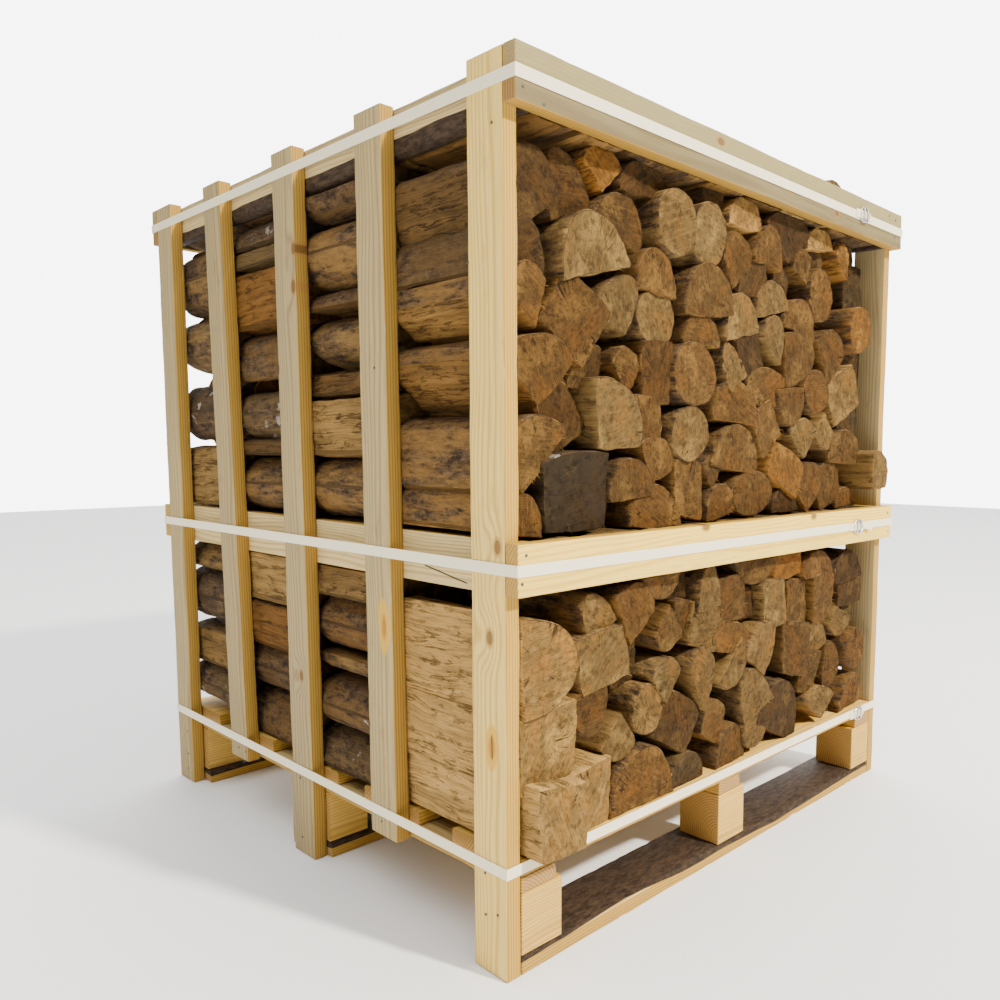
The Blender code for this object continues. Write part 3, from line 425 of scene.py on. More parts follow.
def sawn_pine(
    name, light, dark, weathering, saw_marks=0.0, knots=(), resin=(), cracks=(),
    rough_from=None, bark=None, bark_and_shade_above=None,
):
    """Sawn pine: growth lines along the board, fibres, knots, resin, cracks, dirt and bark.

    Knots are (along, across, radius), resin pockets (along, across, length, width, slit) and
    cracks (along, across, along, across) in metres from the board's middle. rough_from is
    how far across the rough sawn part begins, bark how far across the bark ends and
    bark_and_shade_above how far through the board the dark top of bark and painted shade begins.
    """
    graph = Graph(name)
    place = graph.attribute("board_place", "Vector")
    seed = graph.attribute("board_seed")
    tone = graph.attribute("board_tone")
    half_length = graph.attribute("board_half")
    half_width = graph.attribute("board_edge")
    along, across, through = graph.parts(place)
    shift = graph.combined(seed * 7.3, seed * 3.1, seed * 5.7)
    loose = graph.moved(place, shift)
    swell = graph.noise(graph.scaled(loose, (2.2, 9.0, 9.0)), 1.0, 2.0)
    wander = graph.noise(graph.scaled(loose, (6.0, 30.0, 30.0)), 1.0, 3.0)
    pull = 0.0
    knot_core = 0.0
    knot_rim = 0.0
    for knot_along, knot_across, radius in knots:
        reach_along = (along - knot_along) * 0.62
        reach_across = across - knot_across
        distance = (reach_along * reach_along + reach_across * reach_across).power(0.5)
        distance = distance + (wander - 0.5) * radius * 0.5
        core = distance.below(radius * 0.75, radius)
        knot_core = core + knot_core
        knot_rim = distance.below(radius * 1.0, radius * 1.5) - core + knot_rim
        pull = distance.below(radius * 0.8, radius * 5.0) * 0.016 + pull
    heart = across + 0.03 + (swell - 0.5) * 0.05 + pull
    depth = through + 0.05 + seed.sine() * 0.02
    ring_distance = (heart * heart + depth * depth).power(0.5) + (wander - 0.5) * 0.0016
    rings = ((ring_distance * (2 * math.pi / 0.0043)).sine() * 0.5 + 0.5).power(2.6)
    fibre = graph.noise(graph.scaled(loose, (7.0, 420.0, 420.0)), 1.0, 5.0, 0.7)
    hair = graph.noise(graph.scaled(loose, (30.0, 2600.0, 2600.0)), 1.0, 2.0, 0.6)
    blotch = graph.noise(graph.scaled(loose, (3.0, 10.0, 10.0)), 1.0, 4.0, 0.6)
    dirt = graph.noise(graph.scaled(loose, (14.0, 40.0, 40.0)), 1.0, 5.0, 0.7).above(0.55, 0.74)
    colour = graph.mixed(rings * 0.85, light, dark)
    colour = graph.mixed(fibre.above(0.42, 0.70) * 0.5, colour, graph.shaded(dark, 0.9))
    colour = graph.mixed(blotch.above(0.35, 0.75) * weathering, colour, (0.27, 0.22, 0.13))
    colour = graph.mixed(dirt * (0.15 + 0.5 * weathering), colour, (0.13, 0.088, 0.038))
    colour = graph.shaded(colour, 0.84 + tone * 0.26)
    narrow = (across.size() - half_width).above(-0.0012, -0.0006)
    colour = graph.mixed(narrow * 0.85, colour, graph.mixed(rings, (0.46, 0.26, 0.030), (0.28, 0.145, 0.014)))
    end_grain = (along.size() - half_length).above(-0.0016, -0.0008)
    colour = graph.mixed(end_grain * 0.75, colour, graph.mixed(rings, (0.36, 0.19, 0.05), (0.20, 0.095, 0.022)))
    height = rings * -0.10 + fibre * 0.45 + hair * 0.3
    if saw_marks:
        slant = along + across * 0.55 + (wander - 0.5) * 0.004
        patchy = graph.noise(graph.scaled(loose, (40.0, 60.0, 60.0)), 1.0, 2.0).above(0.35, 0.6)
        marks = ((slant * (2 * math.pi / 0.0034)).sine() * 0.5 + 0.5) * patchy
        if rough_from is not None:
            marks = marks * across.above(rough_from - 0.001, rough_from + 0.001)
            grey = across.above(rough_from - 0.001, rough_from + 0.001) * 0.5
            colour = graph.mixed(grey, colour, (0.37, 0.31, 0.125))
        height = height + marks * saw_marks
        colour = graph.mixed(marks * saw_marks * 0.3, colour, (0.24, 0.19, 0.12))
    if knots:
        colour = graph.mixed(knot_rim * 0.6, colour, (0.36, 0.17, 0.045))
        colour = graph.mixed(knot_core * 0.85, colour, (0.15, 0.068, 0.020))
    for spot_along, spot_across, length, width, slit_length in resin:
        reach_along = (along - spot_along) / length
        reach_across = (across - spot_across) / width
        distance = (reach_along * reach_along + reach_across * reach_across).power(0.5)
        distance = distance + (wander - 0.5) * 0.5 + (swell - 0.5) * 0.3
        pocket = distance.below(0.40, 0.52)
        core = distance.below(0.15, 0.3)
        colour = graph.mixed(pocket * 0.85, colour, graph.mixed(core, (0.66, 0.37, 0.030), (0.40, 0.17, 0.010)))
        if slit_length:
            wavy = spot_across + (wander - 0.5) * 0.002
            slit = (across - wavy).size().below(0.0006, 0.0012)
            slit = slit * (along - spot_along).size().below(slit_length * 0.4, slit_length * 0.5)
            colour = graph.mixed(slit * 0.95, colour, (0.03, 0.018, 0.008))
    for crack in cracks:
        line = near_line(along, across + (wander - 0.5) * 0.003, crack, 0.0014)
        colour = graph.mixed(line * 0.95, colour, (0.03, 0.02, 0.012))
        height = height - line * 3.0
    # Bark along an edge, and with bark_and_shade_above over the top of the board; on the pallet runners that
    # dark top is bark and painted shade under the deck.
    if bark is not None or bark_and_shade_above is not None:
        ragged = (swell - 0.5) * 0.030 + (wander - 0.5) * 0.010
        if bark is not None:
            skin = (across - bark - ragged).below(-0.0006, 0.0006)
        else:
            skin = (through - bark_and_shade_above - ragged).above(-0.0006, 0.0006)
        rough = graph.noise(graph.scaled(loose, (60.0, 160.0, 160.0)), 1.0, 4.0, 0.7)
        bark_and_shade_colour = graph.mixed(rough.above(0.3, 0.7), (0.016, 0.010, 0.006), (0.075, 0.046, 0.026))
        colour = graph.mixed(skin, colour, bark_and_shade_colour)
        height = height + skin * rough * 2.0
        colour = graph.shaded(colour, 1 - skin * 0.2)
    roughness = 0.62 + fibre * 0.2
    normal = graph.raised(height, 0.0007, 0.6)
    return graph.finish(Specular_IOR_Level=0.2, Base_Color=colour, Roughness=roughness, Normal=normal)


def log_colour(graph, lightness, redness, weathering):
    """The wood colour of a log from its three tones."""
    dark = graph.mixed(redness, (0.0145, 0.0086, 0.0030), (0.023, 0.0088, 0.0022))
    light = graph.mixed(redness, (0.265, 0.168, 0.056), (0.31, 0.141, 0.025))
    colour = graph.mixed(lightness, dark, light)
    return graph.mixed(weathering * 0.3, colour, (0.062, 0.045, 0.025))


def birch_end():
    """Sawn end of a birch log: rings, rays, cracks, saw scratches and stains."""
    graph = Graph("birch_end")
    place = graph.attribute("log_place", "Vector")
    seed = graph.attribute("log_seed")
    lightness = graph.attribute("log_light")
    redness = graph.attribute("log_red")
    weathering = graph.attribute("log_weather")
    sawn = graph.attribute("log_sawn")
    ringed = graph.attribute("log_ringed")
    rim = graph.attribute("log_rim")
    x, _, z = graph.parts(place)
    loose = graph.moved(place, graph.combined(seed * 3.7, seed * 1.9, seed * 2.3))
    wander = graph.noise(loose, 26.0, 3.0, 0.55)
    radius = (x * x + z * z).power(0.5)
    ring_distance = radius + (wander - 0.5) * 0.007
    rings = (ring_distance * (2 * math.pi / 0.0033)).sine() * 0.5 + 0.5
    broad = (ring_distance * (2 * math.pi / 0.0118) + seed).sine() * 0.5 + 0.5
    angle = graph.node("ShaderNodeMath", {"operation": "ARCTAN2"}, {0: z, 1: x})
    rays = graph.noise(graph.combined(angle * 7.0, radius * 9.0, seed), 1.0, 3.0, 0.6)
    crack_line = graph.noise(graph.combined(angle * 2.6, radius * 5.0, seed + 4.0), 1.0, 2.0, 0.5)
    crack = (crack_line - 0.5).size().below(0.003, 0.010) * radius.above(0.004, 0.02)
    crack = crack * graph.noise(loose, 22.0, 1.0).above(0.52, 0.62)
    turned = graph.node(
        "ShaderNodeVectorRotate", {"rotation_type": "Y_AXIS"}, {"Vector": loose, "Angle": seed * 2.9}
    )
    fuzz = graph.noise(graph.scaled(turned, (90.0, 60.0, 230.0)), 1.0, 5.0, 0.75)
    pores = graph.noise(graph.scaled(loose, (600.0, 200.0, 500.0)), 1.0, 2.0, 0.7)
    scratches = graph.noise(graph.scaled(turned, (18.0, 1.0, 560.0)), 1.0, 3.0, 0.6)
    ridges = (graph.parts(turned)[2] * (2 * math.pi / 0.0062) + (wander - 0.5) * 9.0).sine() * 0.5 + 0.5
    stain = graph.noise(loose, 17.0, 4.0, 0.62)
    fine_stain = graph.noise(loose, 70.0, 5.0, 0.68)
    wood = graph.shaded(log_colour(graph, lightness, redness, weathering), 0.66)
    colour = graph.shaded(wood, 1.0 - (1 - rings) * (0.10 + ringed * 0.30) - (1 - broad) * 0.12)
    colour = graph.shaded(colour, 0.78 + rays * 0.46)
    core = (radius + (stain - 0.5) * 0.05).below(0.010, 0.034)
    colour = graph.mixed(core * 0.5, colour, graph.shaded(wood, 0.55))
    warm = graph.node("ShaderNodeVectorMath", {"operation": "MULTIPLY"}, {0: wood, 1: (1.5, 1.15, 0.7)})
    colour = graph.mixed(stain.above(0.47, 0.66) * 0.6, colour, warm)
    bleached = graph.node("ShaderNodeVectorMath", {"operation": "MULTIPLY"}, {0: wood, 1: (2.1, 2.1, 1.9)})
    colour = graph.mixed(stain.below(0.36, 0.50) * 0.6, colour, bleached)
    stained = fine_stain.above(0.47, 0.66) * (0.5 + weathering * 0.4)
    colour = graph.mixed(stained, colour, graph.shaded(wood, 0.25))
    fleck = graph.noise(loose, 140.0, 5.0, 0.78)
    colour = graph.mixed(fleck.above(0.50, 0.64) * 0.5, colour, graph.shaded(wood, 0.3))
    colour = graph.mixed(scratches.above(0.5, 0.7) * 0.45, colour, graph.shaded(wood, 1.65))
    colour = graph.shaded(colour, 1 - ridges * sawn * 0.09)
    colour = graph.shaded(colour, fuzz * 1.75 + pores * 0.30)
    mould = graph.noise(loose, 34.0, 5.0, 0.7).above(0.42, 0.58) * weathering.above(0.8, 0.95)
    colour = graph.mixed(mould * 0.65, colour, (0.024, 0.017, 0.010))
    colour = graph.mixed(crack * 0.85, colour, (0.014, 0.008, 0.004))
    edge = (rim + (fine_stain - 0.5) * 0.35).above(0.60, 0.78)
    colour = graph.mixed(edge * 0.8, colour, (0.030, 0.017, 0.009))
    height = rings * 0.12 + rays * 0.25 + scratches * 0.5 + fuzz * 0.7 + pores * 0.3
    height = height + ridges * sawn * 0.25 - crack * 1.6
    normal = graph.raised(height, 0.0016, 0.8)
    return graph.finish(Base_Color=colour, Roughness=0.86, Specular_IOR_Level=0.1, Normal=normal)


def birch_split():
    """Split face of a birch log: long torn fibres, bands of colour and drying cracks."""
    graph = Graph("birch_split")
    skin = graph.attribute("log_skin", "Vector")
    seed = graph.attribute("log_seed")
    lightness = graph.attribute("log_light")
    redness = graph.attribute("log_red")
    weathering = graph.attribute("log_weather")
    around, along, _ = graph.parts(skin)
    wander = graph.noise(graph.combined(around * 9.0, along * 6.0, seed), 1.0, 3.0)
    bent = graph.combined(around + (wander - 0.5) * 0.030, along, seed)
    fibre = graph.noise(graph.scaled(bent, (150.0, 6.0, 1.0)), 1.0, 6.0, 0.74)
    strand = graph.noise(graph.scaled(bent, (420.0, 14.0, 1.0)), 1.0, 4.0, 0.7)
    band = graph.noise(graph.scaled(bent, (45.0, 3.5, 1.0)), 1.0, 3.0, 0.6)
    blotch = graph.noise(graph.scaled(bent, (22.0, 15.0, 1.0)), 1.0, 5.0, 0.7)
    torn = graph.noise(graph.scaled(bent, (110.0, 26.0, 1.0)), 1.0, 6.0, 0.78)
    crack = (graph.noise(graph.scaled(bent, (34.0, 3.0, 1.0)), 1.0, 4.0, 0.6) - 0.5).size().below(0.004, 0.014)
    crack = crack * blotch.above(0.45, 0.6)
    wood = log_colour(graph, lightness, redness, weathering)
    colour = graph.shaded(wood, 1.15 + band * 1.3)
    colour = graph.mixed(fibre.above(0.44, 0.64) * 0.7, colour, graph.shaded(wood, 0.65))
    colour = graph.mixed(strand.above(0.50, 0.72) * 0.5, colour, graph.shaded(wood, 2.9))
    colour = graph.mixed(blotch.above(0.46, 0.70) * (0.3 + 0.4 * weathering), colour, graph.shaded(wood, 0.45))
    colour = graph.mixed(torn.above(0.54, 0.68) * 0.3, colour, graph.shaded(wood, 0.5))
    colour = graph.mixed(crack * 0.5, colour, (0.012, 0.007, 0.003))
    height = fibre * 1.4 + strand * 0.5 + band * 1.0 - torn.above(0.56, 0.64) * 0.9 - crack * 2.0
    normal = graph.raised(height, 0.0030, 1.0)
    return graph.finish(Base_Color=colour, Roughness=0.84, Specular_IOR_Level=0.1, Normal=normal)


def birch_bark():
    """Bark side of a log: brown inner bark with what is left of the white outer skin."""
    graph = Graph("birch_bark")
    skin = graph.attribute("log_skin", "Vector")
    seed = graph.attribute("log_seed")
    paper = graph.attribute("log_paper")
    lightness = graph.attribute("log_light")
    redness = graph.attribute("log_red")
    weathering = graph.attribute("log_weather")
    around, along, _ = graph.parts(skin)
    loose = graph.combined(around, along, seed)
    patch = graph.noise(graph.scaled(loose, (26.0, 20.0, 1.0)), 1.0, 4.0, 0.62)
    coarse = graph.noise(graph.scaled(loose, (90.0, 60.0, 1.0)), 1.0, 4.0, 0.66)
    fine = graph.noise(graph.scaled(loose, (240.0, 150.0, 1.0)), 1.0, 4.0, 0.72)
    lenticels = graph.noise(graph.scaled(loose, (55.0, 420.0, 1.0)), 1.0, 2.0, 0.5).above(0.60, 0.68)
    scars = graph.noise(graph.scaled(loose, (40.0, 26.0, 1.0)), 1.0, 5.0, 0.75).above(0.60, 0.70)
    streak = graph.noise(graph.scaled(loose, (130.0, 22.0, 1.0)), 1.0, 5.0, 0.75)
    brown = graph.mixed(coarse.above(0.35, 0.7), (0.024, 0.015, 0.009), (0.115, 0.070, 0.036))
    brown = graph.mixed(streak.above(0.46, 0.62) * 0.7, brown, (0.165, 0.098, 0.040))
    brown = graph.shaded(brown, 0.4 + fine * 1.2)
    wood = graph.shaded(log_colour(graph, lightness, redness, weathering), 0.2 + fine * 1.1 + streak * 1.6)
    bare = graph.noise(graph.scaled(loose, (30.0, 9.0, 1.0)), 1.0, 6.0, 0.74)
    brown = graph.mixed((bare + (streak - 0.5) * 0.3).above(0.40, 0.60) * 0.9, brown, wood)
    white = graph.mixed(coarse.above(0.3, 0.75), (0.20, 0.17, 0.13), (0.38, 0.34, 0.28))
    white = graph.mixed(lenticels * 0.8, white, (0.05, 0.04, 0.03))
    white = graph.mixed(scars * 0.85, white, (0.025, 0.02, 0.018))
    cover = (patch + paper * 0.55 - 0.25).above(0.49, 0.53)
    colour = graph.mixed(cover, brown, white)
    height = coarse * 1.2 + fine * 0.6 + streak * 0.8 + cover * 0.5 - scars * 0.4
    roughness = 0.88 - cover * 0.25
    normal = graph.raised(height, 0.0034, 1.0)
    return graph.finish(Base_Color=colour, Roughness=roughness, Specular_IOR_Level=0.15, Normal=normal)


def white_strapping():
    """Woven polyester strap under a milky coating."""
    graph = Graph("white_strapping")
    coordinates = graph.node("ShaderNodeTexCoord", output="Object")
    _, _, z = graph.parts(coordinates)
    cords = (z * (2 * math.pi / 0.0011)).sine() * 0.5 + 0.5
    haze = graph.noise(coordinates, 38.0, 3.0, 0.6)
    colour = graph.mixed(cords * 0.35, (0.94, 0.85, 0.60), (0.76, 0.68, 0.46))
    colour = graph.mixed(haze.above(0.45, 0.7) * 0.25, colour, (0.92, 0.86, 0.66))
    normal = graph.raised(cords + haze * 0.6, 0.0003, 0.5)
    return graph.finish(Base_Color=colour, Roughness=0.38, Normal=normal, Coat_Weight=0.15)


def galvanised_wire():
    graph = Graph("galvanised_wire")
    coordinates = graph.node("ShaderNodeTexCoord", output="Object")
    spangle = graph.noise(coordinates, 420.0, 3.0, 0.6)
    colour = graph.mixed(spangle, (0.42, 0.43, 0.45), (0.72, 0.73, 0.75))
    return graph.finish(Base_Color=colour, Roughness=0.3 + spangle * 0.2, Metallic=1.0)


def nail_iron():
    graph = Graph("nail_iron")
    coordinates = graph.node("ShaderNodeTexCoord", output="Object")
    rust = graph.noise(coordinates, 700.0, 3.0, 0.6)
    colour = graph.mixed(rust.above(0.4, 0.65), (0.10, 0.10, 0.10), (0.09, 0.045, 0.025))
    return graph.finish(Base_Color=colour, Roughness=0.55, Metallic=0.6)


def studio_floor():
    """Plain pale floor with a very faint mottle."""
    graph = Graph("studio_floor")
    coordinates = graph.node("ShaderNodeTexCoord", output="Object")
    mottle = graph.noise(coordinates, 1.3, 2.0)
    colour = graph.mixed(mottle, (0.89, 0.89, 0.89), (0.91, 0.91, 0.91))
    return graph.finish(Base_Color=colour, Roughness=0.9)


def new_piece(name, points, faces, materials, face_materials=None, values=None, smooth_angle=None):
    """A mesh piece from numpy-like lists, with its per-point values, riding on the crate."""
    mesh = bpy.data.meshes.new(name)
    mesh.from_pydata(points, [], faces)
    for material in materials:
        mesh.materials.append(material)
    if face_materials is not None:
        mesh.polygons.foreach_set("material_index", face_materials)
    for key, data in (values or {}).items():
        data = np.asarray(data, dtype=np.float32)
        kind = "FLOAT_VECTOR" if data.ndim == 2 else "FLOAT"
        layer = mesh.attributes.new(key, kind, "POINT")
        layer.data.foreach_set("vector" if data.ndim == 2 else "value", data.ravel())
    mesh.update()
    if smooth_angle is not None:
        mesh.shade_smooth()
        mesh.set_sharp_from_angle(angle=math.radians(smooth_angle))
    piece = bpy.data.objects.new(name, mesh)
    bpy.context.scene.collection.objects.link(piece)
    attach(piece, "root")
    return piece


def waves(values, chance, count, low, high):
    """A smooth random curve over values, between about -1 and 1."""
    values = np.asarray(values, dtype=float)
    total = np.zeros_like(values)
    for _ in range(count):
        total += np.sin(values * chance.uniform(low, high) + chance.uniform(0, 2 * math.pi))
    return total / math.sqrt(count)


# Sawn timber: sections with softened, chipped corners swept along the grain.
STATION_PITCH = 0.012
CORNER_TURNS = [(-1, -1), (1, -1), (1, 1), (-1, 1)]


def timber(name, low, high, grain, material, number, chips=0.0015, wane=(), lean=0.0):
    """A sawn board that replaces the CAD node of its name.

    low and high are its corners in the row frame and grain its long axis. chips is how far
    its corners are broken away here and there; wane lists corners that are rounded off by the
    outside of the tree, as (corner, how far); lean moves the top along y against the foot.
    """
    chance = random.Random(number)
    axes = [axis for axis in range(3) if axis != grain]
    length = high[grain] - low[grain]
    middle = [(low[axis] + high[axis]) / 2 for axis in range(3)]
    half_v = (high[axes[0]] - low[axes[0]]) / 2
    half_w = (high[axes[1]] - low[axes[1]]) / 2
    wide_first = half_v >= half_w
    stations = max(6, int(length / STATION_PITCH))
    steps = [-length / 2 + length * index / stations for index in range(stations + 1)]
    steps = [steps[0], steps[0] + 0.0008] + steps[1:-1] + [steps[-1] - 0.0008, steps[-1]]
    grid = np.array(steps)
    cuts = []
    for corner in range(4):
        broken = np.maximum(0, waves(grid, chance, 5, 30, 160) - 1.0) * chips
        broken += np.maximum(0, waves(grid, chance, 3, 200, 420) - 1.1) * chips
        rounded = sum(reach for place, reach in wane if place == corner)
        soft = 0.0009 + 0.0004 * waves(grid, chance, 3, 20, 90)
        bow = rounded * (1 + 0.35 * waves(grid, chance, 3, 6, 22)) if rounded else 0.0
        cuts.append(np.clip(np.abs(soft) + broken + bow, 0.0005, min(half_v, half_w) * 0.95))
    hollow = [0.0003 + 0.0003 * waves(grid, chance, 3, 8, 40) for _ in range(4)]
    points = []
    places = []
    for index, step in enumerate(steps):
        squeeze = 0.0008 if index in (0, len(steps) - 1) else 0.0
        for corner, (side_v, side_w) in enumerate(CORNER_TURNS):
            cut = cuts[corner][index]
            base_v = half_v - squeeze - max(0.0, hollow[corner][index])
            base_w = half_w - squeeze - max(0.0, hollow[(corner + 1) % 4][index])
            arc = [(cut, 0.0), (cut * 0.3, cut * 0.3), (0.0, cut)]
            if side_v * side_w > 0:
                arc = [(0.0, cut), (cut * 0.3, cut * 0.3), (cut, 0.0)]
            for inset_v, inset_w in arc:
                v = side_v * (base_v - inset_v)
                w = side_w * (base_w - inset_w)
                point = [0.0, 0.0, 0.0]
                point[grain] = middle[grain] + step
                point[axes[0]] = middle[axes[0]] + v
                point[axes[1]] = middle[axes[1]] + w
                point[1] += lean * (step / length) if grain == 2 else 0.0
                points.append(point)
                places.append((step, v, w) if wide_first else (step, w, v))
    ring = 12
    faces = []
    for index in range(len(steps) - 1):
        for corner in range(ring):
            after = (corner + 1) % ring
            here = index * ring
            faces.append((here + corner, here + after, here + ring + after, here + ring + corner))
    last = (len(steps) - 1) * ring
    faces.append(tuple(reversed(range(ring))))
    faces.append(tuple(range(last, last + ring)))
    count = len(points)
    values = {
        "board_place": places,
        "board_seed": [number * 0.618 % 7.0] * count,
        "board_tone": [chance.uniform(0.2, 0.8)] * count,
        "board_half": [length / 2] * count,
        "board_edge": [max(half_v, half_w)] * count,
    }
    piece = new_piece(name + "_timber", points, faces, [material], None, values, 35)
    face_outwards(piece)
    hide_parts(name)
    return piece


def build_timber():
    """Every board of the frame and pallet."""
    slat = sawn_pine("slat_pine_plain", (0.44, 0.335, 0.155), (0.27, 0.185, 0.075), 0.36)
    slat_materials = {
        "left_slat_1": sawn_pine(
            "slat_pine_resin",
            (0.94, 0.67, 0.19),
            (0.68, 0.42, 0.08),
            0.08,
            knots=[(-0.012, -0.018, 0.007), (-0.124, -0.002, 0.007)],
            resin=[(-0.26, -0.005, 0.064, 0.027, 0.034)],
        ),
        "left_slat_2": sawn_pine(
            "slat_pine_flame",
            (0.50, 0.38, 0.175),
            (0.30, 0.21, 0.085),
            0.32,
            resin=[(-0.196, -0.013, 0.096, 0.030, 0.0)],
            cracks=[(0.262, -0.040, 0.2625, 0.034)],
        ),
        "left_slat_3": sawn_pine(
            "slat_pine_knots",
            (0.43, 0.33, 0.155),
            (0.26, 0.18, 0.075),
            0.34,
            knots=[(0.405, -0.028, 0.006), (0.349, -0.024, 0.007), (-0.257, -0.008, 0.006)],
        ),
    }
    rail = sawn_pine(
        "rail_pine_cracked",
        (0.64, 0.49, 0.22),
        (0.42, 0.29, 0.10),
        0.2,
        cracks=[(-0.308, -0.011, -0.402, -0.027)],
    )
    barked_rail = sawn_pine("rail_pine_barked", (0.52, 0.40, 0.18), (0.34, 0.24, 0.09), 0.3, bark=-0.013)
    top_board = sawn_pine(
        "board_pine_rough",
        (0.20, 0.155, 0.068),
        (0.135, 0.098, 0.040),
        0.25,
        saw_marks=0.9,
        knots=[(-0.107, 0.019, 0.006), (0.09, -0.006, 0.005), (0.24, -0.014, 0.005)],
        rough_from=0.0,
    )
    middle_board = sawn_pine(
        "board_pine_pale",
        (0.95, 0.66, 0.11),
        (0.76, 0.47, 0.06),
        0.05,
        saw_marks=0.15,
        knots=[(-0.128, 0.029, 0.006), (0.19, 0.027, 0.006)],
    )
    pallet = sawn_pine("pallet_pine_sawn", (0.74, 0.46, 0.095), (0.50, 0.28, 0.045), 0.15, saw_marks=0.35)
    worn_pallet = sawn_pine("pallet_pine_worn", (0.60, 0.43, 0.16), (0.38, 0.24, 0.08), 0.4, saw_marks=0.3)
    # The runners' dark tops are bark and painted shade under the deck.
    barked_shaded_pallet = sawn_pine(
        "pallet_pine_barked_shaded", (0.66, 0.46, 0.16), (0.40, 0.25, 0.08), 0.3, saw_marks=0.3, bark_and_shade_above=0.004
    )
    number = 1
    for side in ("left", "right"):
        for index in range(5):
            name = f"{side}_slat_{index + 1}"
            low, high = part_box(name)
            lean = SLAT_CENTRES_TOP[index] - SLAT_CENTRES_FOOT[index]
            middle = CORNER.y + (SLAT_CENTRES_TOP[index] + SLAT_CENTRES_FOOT[index]) / 2
            low = (low[0], middle - SLAT_WIDTH / 2, low[2])
            high = (high[0], middle + SLAT_WIDTH / 2, high[2])
            timber(name, low, high, 2, slat_materials.get(name, slat), number, 0.0022, lean=lean)
            number += 1
        low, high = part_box(f"{side}_middle_rail")
        timber(f"{side}_middle_rail", low, high, 1, rail, number, 0.0016)
        low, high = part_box(f"{side}_top_rail")
        outer = 0 if side == "left" else 1
        timber(f"{side}_top_rail", low, high, 1, barked_rail, number + 1, 0.0016, wane=[(outer, 0.008)])
        number += 2
    for end in ("front", "back"):
        low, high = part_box(f"{end}_middle_board")
        timber(f"{end}_middle_board", low, high, 0, middle_board, number, 0.0014)
        low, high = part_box(f"{end}_top_board")
        timber(f"{end}_top_board", low, high, 0, top_board, number + 1, 0.0020)
        number += 2
    for place in ("front", "middle", "back"):
        low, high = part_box(f"{place}_runner")
        # Runners: their dark tops are bark and painted shade.
        timber(f"{place}_runner", low, high, 0, barked_shaded_pallet, number, 0.006, wane=[(1, 0.003), (3, 0.004)])
        number += 1
        for side in ("left", "middle", "right"):
            low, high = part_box(f"{place}_{side}_block")
            timber(f"{place}_{side}_block", low, high, 0, pallet, number, 0.0016)
            number += 1
    for side in ("left", "middle", "right"):
        low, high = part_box(f"{side}_stringer")
        timber(f"{side}_stringer", low, high, 1, worn_pallet, number, 0.004)
        number += 1
    for index in range(5):
        low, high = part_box(f"deck_board_{index + 1}")
        timber(f"deck_board_{index + 1}", low, high, 0, pallet, number, 0.002)
        number += 1


# Nails, in crate measures: (y, z) on the slats, (y, z) on the middle rail and (x, z) on the boards.
SLAT_NAILS = [
    (0.0421, 0.1289),
    (0.0414, 0.0744),
    (0.0187, 0.0818),
    (0.0185, 1.0295),
    (0.0640, 0.8806),
    (0.2731, 0.1251),
    (0.2683, 0.7691),
    (0.5081, 0.1263),
    (0.5063, 0.0268),
    (0.7309, 0.1223),
    (0.7020, 0.1212),
    (0.9574, 0.0994),
    (0.9583, 0.0538),
    (0.9599, 0.0232),
]
BOARD_NAILS = [
    (0.0119, 1.0614),
    (0.0445, 1.0509),
    (0.9450, 1.0990),
    (0.9722, 1.0960),
    (0.9869, 1.0741),
    (0.9703, 1.0638),
    (0.0138, 0.5351),
    (0.0073, 0.5017),
    (0.9830, 0.5351),
    (0.9880, 0.4980),
]
NAIL_RADIUS = 0.0021


def nail_heads(name, spots, axis, surface, outward, material):
    """Low round nail heads on a plane square to an axis, at (other horizontal axis, z)."""
    points = []
    faces = []
    sides = 10
    for side_place, z in spots:
        first = len(points)
        for radius, lift in ((NAIL_RADIUS, -0.001), (NAIL_RADIUS, 0.0001), (NAIL_RADIUS * 0.75, 0.0004)):
            for corner in range(sides):
                angle = 2 * math.pi * corner / sides
                point = [0.0, 0.0, z + math.sin(angle) * radius]
                point[axis] = surface + outward * lift
                point[1 - axis] = side_place + math.cos(angle) * radius
                points.append(Vector(point) + CORNER)
        for ring in (0, sides):
            for corner in range(sides):
                after = (corner + 1) % sides
                here = first + ring
                faces.append((here + corner, here + after, here + sides + after, here + sides + corner))
        faces.append(tuple(first + corner for corner in reversed(range(sides))))
        faces.append(tuple(first + 2 * sides + corner for corner in range(sides)))
    piece = new_piece(name, points, faces, [material])
    face_outwards(piece)
    return piece


def face_outwards(piece):
    form = bmesh.new()
    form.from_mesh(piece.data)
    bmesh.ops.recalc_face_normals(form, faces=form.faces)
    form.to_mesh(piece.data)
    form.free()


def build_nails():
    """Nails on both sides and on the cross boards, front and back."""
    iron = nail_iron()
    half = SLAT_THICKNESS
    nail_heads("left_nails", SLAT_NAILS, 0, 0.0, -1, iron)
    nail_heads("right_nails", SLAT_NAILS, 0, CRATE_WIDTH, 1, iron)
    nail_heads("front_nails", BOARD_NAILS, 1, -half, -1, iron)
    nail_heads("back_nails", BOARD_NAILS, 1, CRATE_DEPTH + half, 1, iron)


